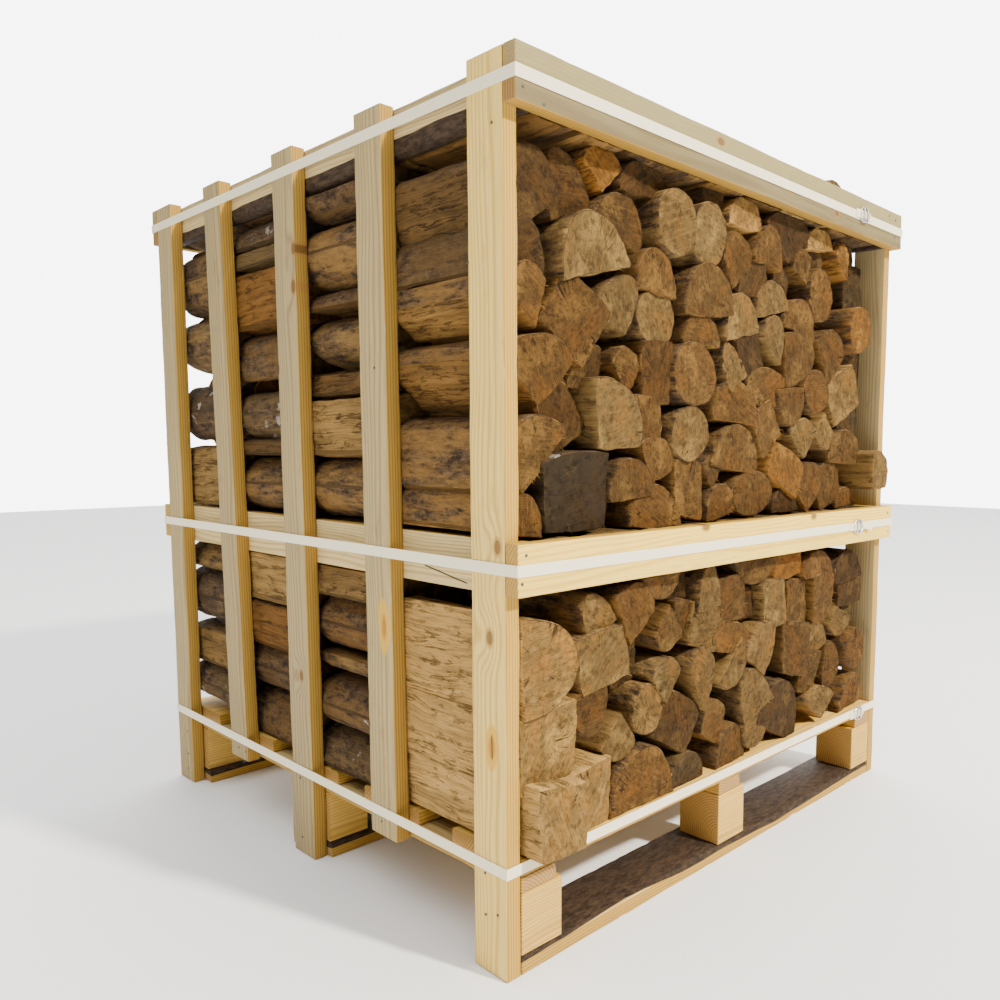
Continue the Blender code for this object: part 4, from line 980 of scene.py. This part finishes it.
def build_splinter(material):
    """The long splinter standing behind the foot of the left middle slat."""
    chance = random.Random(5)
    points = []
    for step in range(13):
        share = step / 12
        z = 0.002 + share * 0.128
        width = 0.010 + 0.0015 * math.sin(share * 9) + chance.uniform(-0.0008, 0.0008)
        near = 0.5345 + share * 0.001
        for x, y in ((0.004, near), (0.013, near), (0.012, near + width), (0.005, near + width * 0.9)):
            points.append(Vector((x, y, z + (0.004 if y > near else 0.0) * (1 - share))) + CORNER)
    faces = [(0, 1, 2, 3), tuple(48 + corner for corner in (3, 2, 1, 0))]
    for step in range(12):
        for corner in range(4):
            after = (corner + 1) % 4
            here = step * 4
            faces.append((here + corner, here + after, here + 4 + after, here + 4 + corner))
    places = [(point.z - 0.065, point.y, point.x) for point in points]
    amount = len(points)
    values = {
        "board_place": places,
        "board_seed": [3.3] * amount,
        "board_tone": [0.2] * amount,
        "board_half": [0.07] * amount,
        "board_edge": [1.0] * amount,
    }
    piece = new_piece("left_foot_splinter", points, faces, [material], None, values, 35)
    face_outwards(piece)


# Log sections by kind: corners counter-clockwise from the front in half widths and half
# heights, then how the edge after each corner leaves it (upright, level or straight), how far
# it is bowed and whether it is bark.
SECTIONS = {
    "R": [
        (-1, 0, "upright", 1.0, True),
        (0, -1, "level", 1.0, True),
        (1, 0, "upright", 1.0, True),
        (0, 1, "level", 1.0, True),
    ],
    "H": [(-1, -1, "straight", 0.0, False), (1, -1, "upright", 1.0, True), (0, 1, "level", 1.0, True)],
    "Q": [
        (0, -1, "straight", 0.02, False),
        (1, 0.25, "upright", 0.75, True),
        (0, 1, "level", 0.75, True),
        (-1, 0.25, "straight", 0.02, False),
    ],
    "B": [
        (-1, -1, "straight", 0.01, False),
        (1, -1, "straight", 0.02, False),
        (1, 1, "straight", 0.06, True),
        (-1, 1, "straight", 0.01, False),
    ],
}


def edge_points(start, end, leaving, bow, steps):
    """Points from start towards end along a quarter of an ellipse or a bowed line."""
    shares = (np.arange(steps) / steps)[:, None]
    straight = start + (end - start) * shares
    if leaving == "straight":
        outward = np.array([end[1] - start[1], start[0] - end[0]])
        return straight + outward * bow * np.sin(np.pi * shares)
    turn = np.array([start[0], end[1]]) if leaving == "upright" else np.array([end[0], start[1]])
    centre = start + end - turn
    angle = shares * np.pi / 2
    curve = centre + (start - centre) * np.cos(angle) + (end - centre) * np.sin(angle)
    return straight + (curve - straight) * bow


def resampled(path, flags, count):
    """The closed path as count points at equal distances, their edges' flags and the girth."""
    path = np.array(path)
    closed = np.vstack([path, path[:1]])
    lengths = np.linalg.norm(np.diff(closed, axis=0), axis=1)
    reached = np.concatenate([[0], np.cumsum(lengths)])
    targets = np.arange(count) * reached[-1] / count
    owners = np.clip(np.searchsorted(reached, targets, side="right") - 1, 0, len(path) - 1)
    shares = (targets - reached[owners]) / np.maximum(lengths[owners], 1e-9)
    points = closed[owners] + (closed[owners + 1] - closed[owners]) * shares[:, None]
    return points, np.array(flags)[owners], reached[-1]


def log_section(kind, width, height, turn, count, chance):
    """A log's section around its own middle: points, bark flags and girth."""
    half = np.array([width / 2, height / 2])
    corners = []
    for x, z, leaving, bow, bark in SECTIONS[kind]:
        wobble = 0.0 if kind == "R" else 0.09
        shift = np.array([chance.uniform(-wobble, wobble), chance.uniform(-wobble, wobble)])
        corners.append(((np.array([x, z]) + shift) * half, leaving, bow, bark))
    path = []
    flags = []
    for index, (corner, leaving, bow, bark) in enumerate(corners):
        following = corners[(index + 1) % len(corners)][0]
        path.extend(edge_points(corner, following, leaving, bow, 14))
        flags += [bark] * 14
    points, bark, girth = resampled(path, flags, count)
    turns = np.arange(count) * 2 * math.pi / count
    lumps = 1.0
    for waves_around, size in ((2, 0.022), (3, 0.016), (5, 0.006)):
        lumps = lumps + size * np.sin(turns * waves_around + chance.uniform(0, 6.3))
    points = points * np.asarray(lumps)[:, None]
    angle = math.radians(turn)
    rotation = np.array([[math.cos(angle), -math.sin(angle)], [math.sin(angle), math.cos(angle)]])
    return points @ rotation.T, bark, girth


def ring_waves(count, chance, amount, low, high):
    """A random curve around a section that meets itself, between about -1 and 1."""
    turns = np.arange(count) * 2 * math.pi / count
    total = np.zeros(count)
    for _ in range(amount):
        total += np.sin(turns * chance.randint(low, high) + chance.uniform(0, 2 * math.pi))
    return total / math.sqrt(amount)


def log_traits(wood, chance):
    """The values that one log's materials read."""
    light, red, weather = WOOD_TONES[wood]
    return {
        "log_seed": chance.uniform(0, 40),
        "log_light": min(1.0, max(0.04, light + chance.uniform(-0.09, 0.09))),
        "log_red": min(1.0, max(0.0, red + chance.uniform(-0.12, 0.12))),
        "log_weather": weather,
        "log_sawn": chance.choice([0.0, 0.0, 0.0, 0.1, 0.2, 0.6]),
        "log_ringed": chance.choice([0.0, 0.0, 0.1, 0.3, 0.8]),
        "log_paper": chance.choice([0.0, 0.0, 0.0, 0.1]) + (0.22 if weather > 0.7 else 0.0),
    }


class LogPile:
    """Gathers logs into one mesh together with the values that their materials read."""

    def __init__(self):
        self.points = []
        self.faces = []
        self.kinds = []
        self.values = {}
        self.count = 0

    def put(self, points, place, skin, rim, traits):
        """Add points with their values and give the number of the first."""
        first = self.count
        amount = len(points)
        self.points.append(points)
        self.count += amount
        columns = {"log_place": place, "log_skin": skin, "log_rim": rim}
        columns.update({key: np.full(amount, value) for key, value in traits.items()})
        for key, column in columns.items():
            self.values.setdefault(key, []).append(column)
        return first

    def band(self, near, far, count, kinds, turned=False):
        """Faces between two rings of points."""
        for corner in range(count):
            after = (corner + 1) % count
            quad = (near + corner, far + corner, far + after, near + after)
            self.faces.append(quad[::-1] if turned else quad)
            self.kinds.append(int(kinds[corner]))

    def add(self, section, bark, girth, middle, span_y, traits, chance, stations, rings):
        """One log: its section swept from front to back, with two sawn ends."""
        count = len(section)
        centre = section.mean(axis=0)
        front, back = span_y
        length = back - front
        shares = np.concatenate([[0.0, 0.010], np.linspace(0.05, 0.95, stations - 4), [0.990, 1.0]])
        runs = np.roll(section, -1, axis=0) - np.roll(section, 1, axis=0)
        normals = np.stack([runs[:, 1], -runs[:, 0]], axis=1)
        normals /= np.maximum(np.linalg.norm(normals, axis=1, keepdims=True), 1e-9)
        arcs = np.arange(count) * girth / count
        ridges = ring_waves(count, chance, 4, 7, 14) * 0.0005
        swells = ring_waves(count, chance, 3, 2, 6) * 0.0009
        tilt = np.array([chance.uniform(-0.025, 0.025), chance.uniform(-0.016, 0.016)])
        cuts = [np.array([chance.uniform(-0.08, 0.08), chance.uniform(-0.08, 0.08)]) for _ in range(2)]
        rag = ring_waves(count, chance, 5, 4, 17) * 0.0006
        if bark.all():
            inner = section[int(chance.uniform(0, count)) % count]
        else:
            inner = section[~bark].mean(axis=0)
        pith = centre + (inner - centre) * chance.uniform(0.1, 0.9)
        kinds = np.where(bark & np.roll(bark, -1), 2, 1)
        seed = traits["log_seed"]
        rows = []
        for index, share in enumerate(shares):
            edge = index in (0, len(shares) - 1)
            wave = swells * math.cos(share * 5 + seed) + ridges * (0.7 + 0.3 * math.cos(share * 17 + seed))
            knobs = ring_waves(count, chance, 2, 4, 9) * 0.0006
            reach = np.where(bark, wave * 0.6 + knobs, wave * 1.1 + knobs * 0.5)
            drawn_in = 0.0012 if edge else 0.0
            shape = section + normals * (reach - drawn_in)[:, None] + tilt * share * length * 0.5
            level = front + share * length + (rag if edge else 0.0)
            if share <= 0.010 or share >= 0.990:
                cut = cuts[0] if share < 0.5 else cuts[1]
                level = level + (section - centre) @ cut
            level = level + np.zeros(count)
            row = np.stack([shape[:, 0] + middle[0], level, shape[:, 1] + middle[1]], axis=1)
            flat = np.stack([section[:, 0] - pith[0], level, section[:, 1] - pith[1]], axis=1)
            skin = np.stack([arcs, share * length + np.zeros(count), np.zeros(count)], axis=1)
            rows.append((self.put(row, flat, skin, bark.astype(float), traits), row))
        for (near, _), (far, _) in zip(rows, rows[1:]):
            self.band(near, far, count, kinds)
        self.close(rows[0], section, pith, rings, traits, chance, False)
        self.close(rows[-1], section, pith, rings, traits, chance, True)
        return rows[0][1]

    def close(self, rim, section, pith, rings, traits, chance, turned):
        """A sawn end: rings of points drawn in from the rim, slightly uneven."""
        outer, row = rim
        count = len(row)
        centre = row.mean(axis=0)
        middle = section.mean(axis=0)
        blank = np.zeros((count, 3))
        ends = np.zeros(count, dtype=int)
        shares = np.concatenate([[0.94], np.linspace(0.78, 0.16, rings - 1)])
        for share in shares:
            ring = centre + (row - centre) * share
            local = (section - middle) * share
            rough = waves(local[:, 0] + share, chance, 2, 60, 260) + waves(local[:, 1], chance, 2, 60, 260)
            ring[:, 1] += rough * 0.00035 * (0.4 if share > 0.9 else 1.0)
            across = middle[0] + local[:, 0] - pith[0]
            upward = middle[1] + local[:, 1] - pith[1]
            flat = np.stack([across, ring[:, 1], upward], axis=1)
            inner = self.put(ring, flat, blank, np.zeros(count), traits)
            self.band(inner, outer, count, ends, turned)
            outer = inner
        flat = np.array([[middle[0] - pith[0], centre[1], middle[1] - pith[1]]])
        tip = self.put(centre[None, :], flat, blank[:1], np.zeros(1), traits)
        for corner in range(count):
            after = (corner + 1) % count
            triangle = (tip, outer + corner, outer + after)
            self.faces.append(triangle[::-1] if turned else triangle)
            self.kinds.append(0)

    def splinter(self, root, reach, traits):
        """One torn fibre: a thin closed spike from a point on a log's edge."""
        across = np.array([0.0003, 0.0, 0.0002])
        under = np.array([0.0, 0.0003, -0.0003])
        bend = root + reach * 0.6 + np.array([0.0, -0.0006, 0.0004])
        points = np.array([root - across, root + across, root + under, bend, root + reach])
        light = dict(traits, log_light=min(1.0, traits["log_light"] + 0.35))
        skin = points - root
        first = self.put(points, points - root, skin, np.zeros(5), light)
        for face in ((0, 1, 3), (1, 2, 3), (2, 0, 3), (0, 2, 1)):
            self.faces.append(tuple(first + corner for corner in face))
            self.kinds.append(1)
        for face in ((3, 1, 4), (3, 2, 4), (3, 0, 4)):
            self.faces.append(tuple(first + corner for corner in face))
            self.kinds.append(1)

    def piece(self, name, nodes, limits=None):
        """The finished mesh, in place of its CAD nodes, kept inside limits of x and z."""
        points = np.concatenate(self.points)
        if limits:
            points[:, 0] = np.clip(points[:, 0], *limits[0])
            points[:, 1] = np.clip(points[:, 1], 0.0002 - FRONT_REACH, CRATE_DEPTH - 0.0005)
            points[:, 2] = np.clip(points[:, 2], *limits[1])
        points = points + np.array(CORNER)
        values = {key: np.concatenate(columns) for key, columns in self.values.items()}
        made = new_piece(name, points.tolist(), self.faces, LOG_MATERIALS, self.kinds, values, 50)
        if nodes:
            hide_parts(*nodes)
        return made


def clip(polygon, normal, limit):
    """The part of a convex outline where its points' product with normal is at most limit."""
    kept = []
    for index, here in enumerate(polygon):
        there = polygon[(index + 1) % len(polygon)]
        side_here = here[0] * normal[0] + here[1] * normal[1] - limit
        side_there = there[0] * normal[0] + there[1] * normal[1] - limit
        if side_here <= 0:
            kept.append(here)
        if (side_here < 0 < side_there) or (side_there < 0 < side_here):
            share = side_here / (side_here - side_there)
            kept.append((here[0] + share * (there[0] - here[0]), here[1] + share * (there[1] - here[1])))
    return kept


def log_cells(bay, seeds, chance):
    """Share a bay between log centres: each log gets the outline nearest to it for its size."""
    (x_low, x_high), (z_low, z_high) = bay
    cells = []
    for x, z, size in seeds:
        outline = [(x_low, z_low), (x_high, z_low), (x_high, z_high), (x_low, z_high)]
        for other_x, other_z, other_size in seeds:
            if (other_x, other_z) == (x, z):
                continue
            normal = (2 * (other_x - x), 2 * (other_z - z))
            limit = other_x**2 + other_z**2 - other_size**2 - x**2 - z**2 + size**2
            outline = clip(outline, normal, limit)
            if not outline:
                break
        outline = clip(outline, (-1.0, 0.0), -x_low - chance.uniform(0.0, SIDE_SETBACK))
        outline = clip(outline, (1.0, 0.0), x_high - chance.uniform(0.0, SIDE_SETBACK))
        under_top_log = abs(x - TOP_LOG_CENTRE_X) < TOP_LOG_WIDTH
        if z_high == PILE_TOP and not under_top_log:
            outline = clip(outline, (0.0, 1.0), z_high - chance.uniform(0.0, TOP_DROP))
        cells.append(outline)
    return cells


def course_seeds(bay, row, chance):
    """Log centres laid in courses, with sizes that vary from log to log."""
    (x_low, x_high), (z_low, z_high) = bay
    courses = max(1, round((z_high - z_low) / COURSE_HEIGHTS[row]))
    height = (z_high - z_low) / courses
    seeds = []
    for course in range(courses):
        count = round((x_high - x_low) / (LOG_PITCHES[row] * chance.uniform(0.92, 1.12)))
        pitch = (x_high - x_low) / count
        for place in range(count):
            x = x_low + (place + 0.5 + chance.uniform(-0.2, 0.2)) * pitch
            z = z_low + (course + 0.5) * height
            if courses > 1:
                z += chance.uniform(-0.16, 0.16) * height
            seeds.append((x, z, chance.uniform(0.03, 0.052)))
    return seeds


def rounded_cell(outline, count, chance):
    """A log section that fills its cell: split flats, and a corner or two rounded by bark."""
    corners = np.array(outline)
    middle = corners.mean(axis=0)
    local = (corners - middle) * 0.975
    bark_from = chance.randrange(len(local))
    path = []
    flags = []
    for index in range(len(local)):
        before = local[index - 1]
        here = local[index]
        after = local[(index + 1) % len(local)]
        bark = index in (bark_from, (bark_from + 1) % len(local))
        share = 0.46 if bark else chance.uniform(0.04, 0.16)
        start = here + (before - here) * share
        end = here + (after - here) * share
        for step in range(9):
            t = step / 8
            point = start * (1 - t) ** 2 + here * 2 * t * (1 - t) + end * t**2
            path.append(tuple(point))
            flags.append(bark)
    points, bark, girth = resampled(path, flags, count)
    return points, bark, girth, middle


def has_side_logs(row, bay):
    return row in SIDE_LOGS and bay[0] == LOG_SPACE_X


def course_logs(pile, row, bay, bay_number, looks):
    """Logs of a bay that nobody sees whole: one in each cell of the CAD row."""
    chance = random.Random(40 + 10 * row + bay_number)
    seeds = course_seeds(bay, row, chance)
    side = []
    if has_side_logs(row, bay):
        seeds = [seed for seed in seeds if seed[0] > SIDE_REACH]
        for z, width, height, kind, turn, wood in SIDE_LOGS[row]:
            if bay[1][0] <= z / 100 <= bay[1][1]:
                seeds.append((bay[0][0] + width / 200, z / 100, math.sqrt(width * height) / 200))
                side.append((width, height, kind, turn, wood))
    cells = log_cells(bay, seeds, chance)
    span = (row * LOG_LENGTH + ROW_GAP, (row + 1) * LOG_LENGTH - ROW_GAP)
    for index, outline in enumerate(cells):
        if len(outline) < 3 or index >= len(cells) - len(side):
            continue
        section, bark, girth, middle = rounded_cell(outline, 28, looks)
        traits = log_traits(looks.choice(["tan", "pale", "ochre", "brown", "bark", "tan"]), looks)
        ends = (span[0] + looks.uniform(0, 0.004), span[1] - looks.uniform(0, 0.004))
        pile.add(section, bark, girth, middle, ends, traits, looks, 8, 2)


def side_logs(pile, row, bay, looks):
    """The logs that show between the slats on the left side, in full detail."""
    span = (row * LOG_LENGTH + ROW_GAP, (row + 1) * LOG_LENGTH - ROW_GAP)
    for z, width, height, kind, turn, wood in SIDE_LOGS[row]:
        if not bay[1][0] <= z / 100 <= bay[1][1]:
            continue
        sizes = (height, width) if turn in (90, 270) else (width, height)
        section, bark, girth = log_section(kind, sizes[0] / 100, sizes[1] / 100, turn, 56, looks)
        middle = (bay[0][0] + width / 200 + looks.uniform(0.0, 0.006), z / 100)
        ends = (span[0] + looks.uniform(0, 0.012), span[1] - looks.uniform(0, 0.012))
        pile.add(section, bark, girth, middle, ends, log_traits(wood, looks), looks, 16, 3)


def end_logs(pile, row, bay, looks):
    """Logs whose ends show at the front, as measured, or at the back, the same turned over."""
    at_back = row > 0
    z_low, z_high = bay[1]
    span = (row * LOG_LENGTH + ROW_GAP, (row + 1) * LOG_LENGTH - ROW_GAP)
    for x, z, width, height, kind, turn, out, wood, name in FRONT_LOGS:
        if not z_low <= z / 100 <= z_high:
            continue
        middle = (x / 100, z / 100)
        front = max(-out / 1000 + looks.uniform(-0.001, 0.006), 0.0015)
        ends = (-out / 1000 + 0.001 if name else front, span[1])
        if at_back:
            if x / 100 < SIDE_REACH:
                continue
            middle = (x / 100, z_low + z_high - z / 100)
            ends = (span[0], span[1] - looks.uniform(0.001, 0.018))
            turn += 180
            wood = looks.choice(["tan", "pale", "ochre", "brown", "orange", "grey", "tan", "ochre"])
        sizes = (width / 100 * END_GROWTH, height / 100 * END_GROWTH)
        section, bark, girth = log_section(kind, *sizes, turn, 36 if at_back else 52, looks)
        traits = log_traits(wood, looks)
        target = LogPile() if name and not at_back else pile
        rim = target.add(section, bark, girth, middle, ends, traits, looks, 12, 4 if at_back else 6)
        for _ in range(0 if at_back else looks.choice([0, 0, 2, 4, 9, 16])):
            place = int(looks.uniform(0, len(rim)))
            if bark[place]:
                continue
            root = rim[place]
            run = rim[place] - rim.mean(axis=0)
            away = np.array([run[0], 0.0, run[2]]) / max(np.linalg.norm(run), 1e-6)
            length = looks.uniform(0.003, 0.011)
            reach = away * length * looks.uniform(0.3, 0.9) + np.array([0, -min(length * 0.5, 0.0035), 0])
            reach = reach + np.array([looks.uniform(-0.002, 0.002), 0, looks.uniform(-0.003, 0.001)])
            target.splinter(root, reach, traits)
        if name and not at_back:
            target.piece(name + "_wood", [name], (bay[0], bay[1]))


def build_logs():
    """All four rows of logs, each bay of a row in one mesh, and the log on top."""
    row_names = ["front_log_row", "second_log_row", "third_log_row", "back_log_row"]
    for row, row_name in enumerate(row_names):
        looks = random.Random(90 + row)
        for bay_number, bay in enumerate(BAYS):
            pile = LogPile()
            if bay_number in (0, 2) and row in (0, ROW_COUNT - 1):
                end_logs(pile, row, bay, looks)
            else:
                course_logs(pile, row, bay, bay_number, looks)
            if has_side_logs(row, bay):
                side_logs(pile, row, bay, looks)
            label = ["lower", "middle", "upper", "top"][bay_number]
            pile.piece(f"{row_name}_{label}", [row_name] if bay_number == 0 else [], bay)
    chance = random.Random(7)
    pile = LogPile()
    section, bark, girth = log_section("H", TOP_LOG_WIDTH * 0.9, TOP_LOG_HEIGHT * 0.86, 0, 48, chance)
    middle = (TOP_LOG_CENTRE_X, PILE_TOP + 0.0005 + TOP_LOG_HEIGHT / 2)
    traits = log_traits("pale", chance)
    pile.add(section, bark, girth, middle, TOP_LOG_SPAN_Y, traits, chance, 12, 4)
    pile.piece("top_log_wood", ["top_log"])


# Buckles: centre x, centre z and the y of the strap's outer face under each.
BUCKLES = {
    "top": (0.838, 1.0795, -0.0232),
    "middle": (0.852, 0.516, -0.0232),
    "bottom": (0.923, 0.1365, -0.0012),
}


def thin_strip(name, path, width, thickness, material):
    """A closed strip of strap along a path of (x, y, z, lean), its width upright."""
    points = []
    for x, y, z, lean in path:
        for side_y in (0.0, -thickness):
            for side_z in (-width / 2, width / 2):
                points.append(Vector((x + side_z * lean, y + side_y, z + side_z)) + CORNER)
    faces = [(0, 1, 3, 2), tuple(4 * (len(path) - 1) + corner for corner in (2, 3, 1, 0))]
    for step in range(len(path) - 1):
        here = 4 * step
        for corner, after in ((0, 1), (1, 3), (3, 2), (2, 0)):
            faces.append((here + corner, here + after, here + 4 + after, here + 4 + corner))
    piece = new_piece(name, points, faces, [material], None, None, 40)
    face_outwards(piece)


def bent_wire(name, path, radius, material):
    """A round wire along a path in crate measures, closed at both ends."""
    sides = 8
    points = []
    path = [Vector(point) for point in path]
    for index, point in enumerate(path):
        run = (path[min(index + 1, len(path) - 1)] - path[max(index - 1, 0)]).normalized()
        first = run.cross(Vector((0, 1, 0))).normalized()
        second = run.cross(first)
        for side in range(sides):
            angle = 2 * math.pi * side / sides
            points.append(point + (first * math.cos(angle) + second * math.sin(angle)) * radius + CORNER)
    last = (len(path) - 1) * sides
    faces = [tuple(range(sides)), tuple(last + side for side in reversed(range(sides)))]
    for index in range(len(path) - 1):
        here = index * sides
        for side in range(sides):
            after = (side + 1) % sides
            faces.append((here + side, here + after, here + sides + after, here + sides + side))
    piece = new_piece(name, points, faces, [material], None, None, 50)
    face_outwards(piece)


def build_straps_and_buckles():
    """Strap and wire materials, the folds at the buckles, their cross wires and the loose tail."""
    strapping = white_strapping()
    wire = galvanised_wire()
    for place, (x, z, y) in BUCKLES.items():
        for kind, material in (("strap", strapping), ("buckle", wire)):
            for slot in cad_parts[f"{place}_{kind}"].material_slots:
                slot.material = material
        fold = []
        for step in range(9):
            share = step / 8
            bulge = math.sin(math.pi * share) ** 0.5 * 0.0016
            fold.append((x - 0.030 + share * 0.056, y - 0.0002 - bulge, z, 0.0))
        thin_strip(f"{place}_strap_fold", fold, 0.0135, 0.0008, strapping)
        for side in (-1, 1):
            bar_x = x + side * 0.0062
            bar = []
            for step in range(7):
                share = step / 6
                bar.append((bar_x, y - 0.0036 - math.sin(math.pi * share) * 0.0012, z - 0.0115 + share * 0.023))
            bent_wire(f"{place}_buckle_bar_{'left' if side < 0 else 'right'}", bar, 0.0013, wire)
    x, z, y = BUCKLES["middle"]
    tail = []
    for step in range(8):
        share = step / 7
        tail_place = (x + 0.018 + share * 0.030, y - 0.0012 - share * 0.006, z + 0.003 - share * 0.006)
        tail.append((*tail_place, 0.5 * share))
    thin_strip("middle_strap_tail", tail, 0.0125, 0.0008, strapping)


# Level direction from the camera towards the backdrop.
BACKDROP_SIDE = (0.7275, 0.6861)


def studio_world():
    """Light mostly from overhead, with a bright backdrop behind the crate as the camera sees it."""
    graph = Graph("studio", bpy.data.worlds.new("studio"), "Background")
    direction = graph.node("ShaderNodeTexCoord", output="Generated")
    x, y, z = graph.parts(direction)
    behind = (x * BACKDROP_SIDE[0] + y * BACKDROP_SIDE[1]).above(0.62, 0.76) * z.below(0.5, 0.65)
    overhead = 0.14 + z.above(0.45, 1.0) * 3.0
    return graph.finish(Color=(1.0, 1.0, 1.0), Strength=overhead + behind * 7.0)


def soft_light(name, size, watts, colour, place):
    """A round area light aimed at the middle of the crate."""
    lamp = bpy.data.lights.new(name, "AREA")
    lamp.shape = "DISK"
    lamp.size = size
    lamp.energy = watts
    lamp.color = colour
    light = bpy.data.objects.new(name, lamp)
    light.location = place
    light.rotation_euler = (Vector((0, 0, 0.6)) - light.location).to_track_quat("-Z", "Y").to_euler()
    bpy.context.scene.collection.objects.link(light)


def build_studio():
    """Plain pale floor, a far key light from the front and a weak fill from the left."""
    size = 9.0
    mesh = bpy.data.meshes.new("floor")
    corners = [(-size, -size, 0), (size, -size, 0), (size, size, 0), (-size, size, 0)]
    mesh.from_pydata(corners, [], [(0, 1, 2, 3)])
    mesh.materials.append(studio_floor())
    floor = bpy.data.objects.new("floor", mesh)
    floor.location.z = -0.0005
    bpy.context.scene.collection.objects.link(floor)
    bpy.context.scene.world = studio_world()
    soft_light("key_light", 0.5, 1350, (1.0, 0.93, 0.80), (1.2, -6.2, 5.2))
    soft_light("fill_light", 0.8, 12, (1.0, 0.96, 0.90), (-2.4, -0.5, 0.45))


# Camera from the photograph: place, heading, tilt and roll in radians, lens and shift.
CAMERA_PLACE = (-1.1683, -1.2618, 0.6608)
CAMERA_HEADING = 0.8146
CAMERA_TILT = -0.0967
CAMERA_ROLL = -0.003
CAMERA_LENS = 31.152
CAMERA_SHIFT = (-0.0896, 0.0321)


def build_camera():
    data = bpy.data.cameras.new("camera")
    data.sensor_width = 36.0
    data.lens = CAMERA_LENS
    data.shift_x, data.shift_y = CAMERA_SHIFT
    level = math.cos(CAMERA_TILT)
    ahead = (math.sin(CAMERA_HEADING) * level, math.cos(CAMERA_HEADING) * level)
    forward = Vector((*ahead, math.sin(CAMERA_TILT)))
    camera = bpy.data.objects.new("camera", data)
    camera.location = CAMERA_PLACE
    camera.rotation_mode = "QUATERNION"
    camera.rotation_quaternion = Quaternion(forward, CAMERA_ROLL) @ forward.to_track_quat("-Z", "Y")
    bpy.context.scene.collection.objects.link(camera)
    bpy.context.scene.camera = camera


LOG_MATERIALS = [birch_end(), birch_split(), birch_bark()]
build_timber()
build_splinter(bpy.data.materials["slat_pine_plain"])
build_nails()
build_logs()
build_straps_and_buckles()
build_studio()
build_camera()
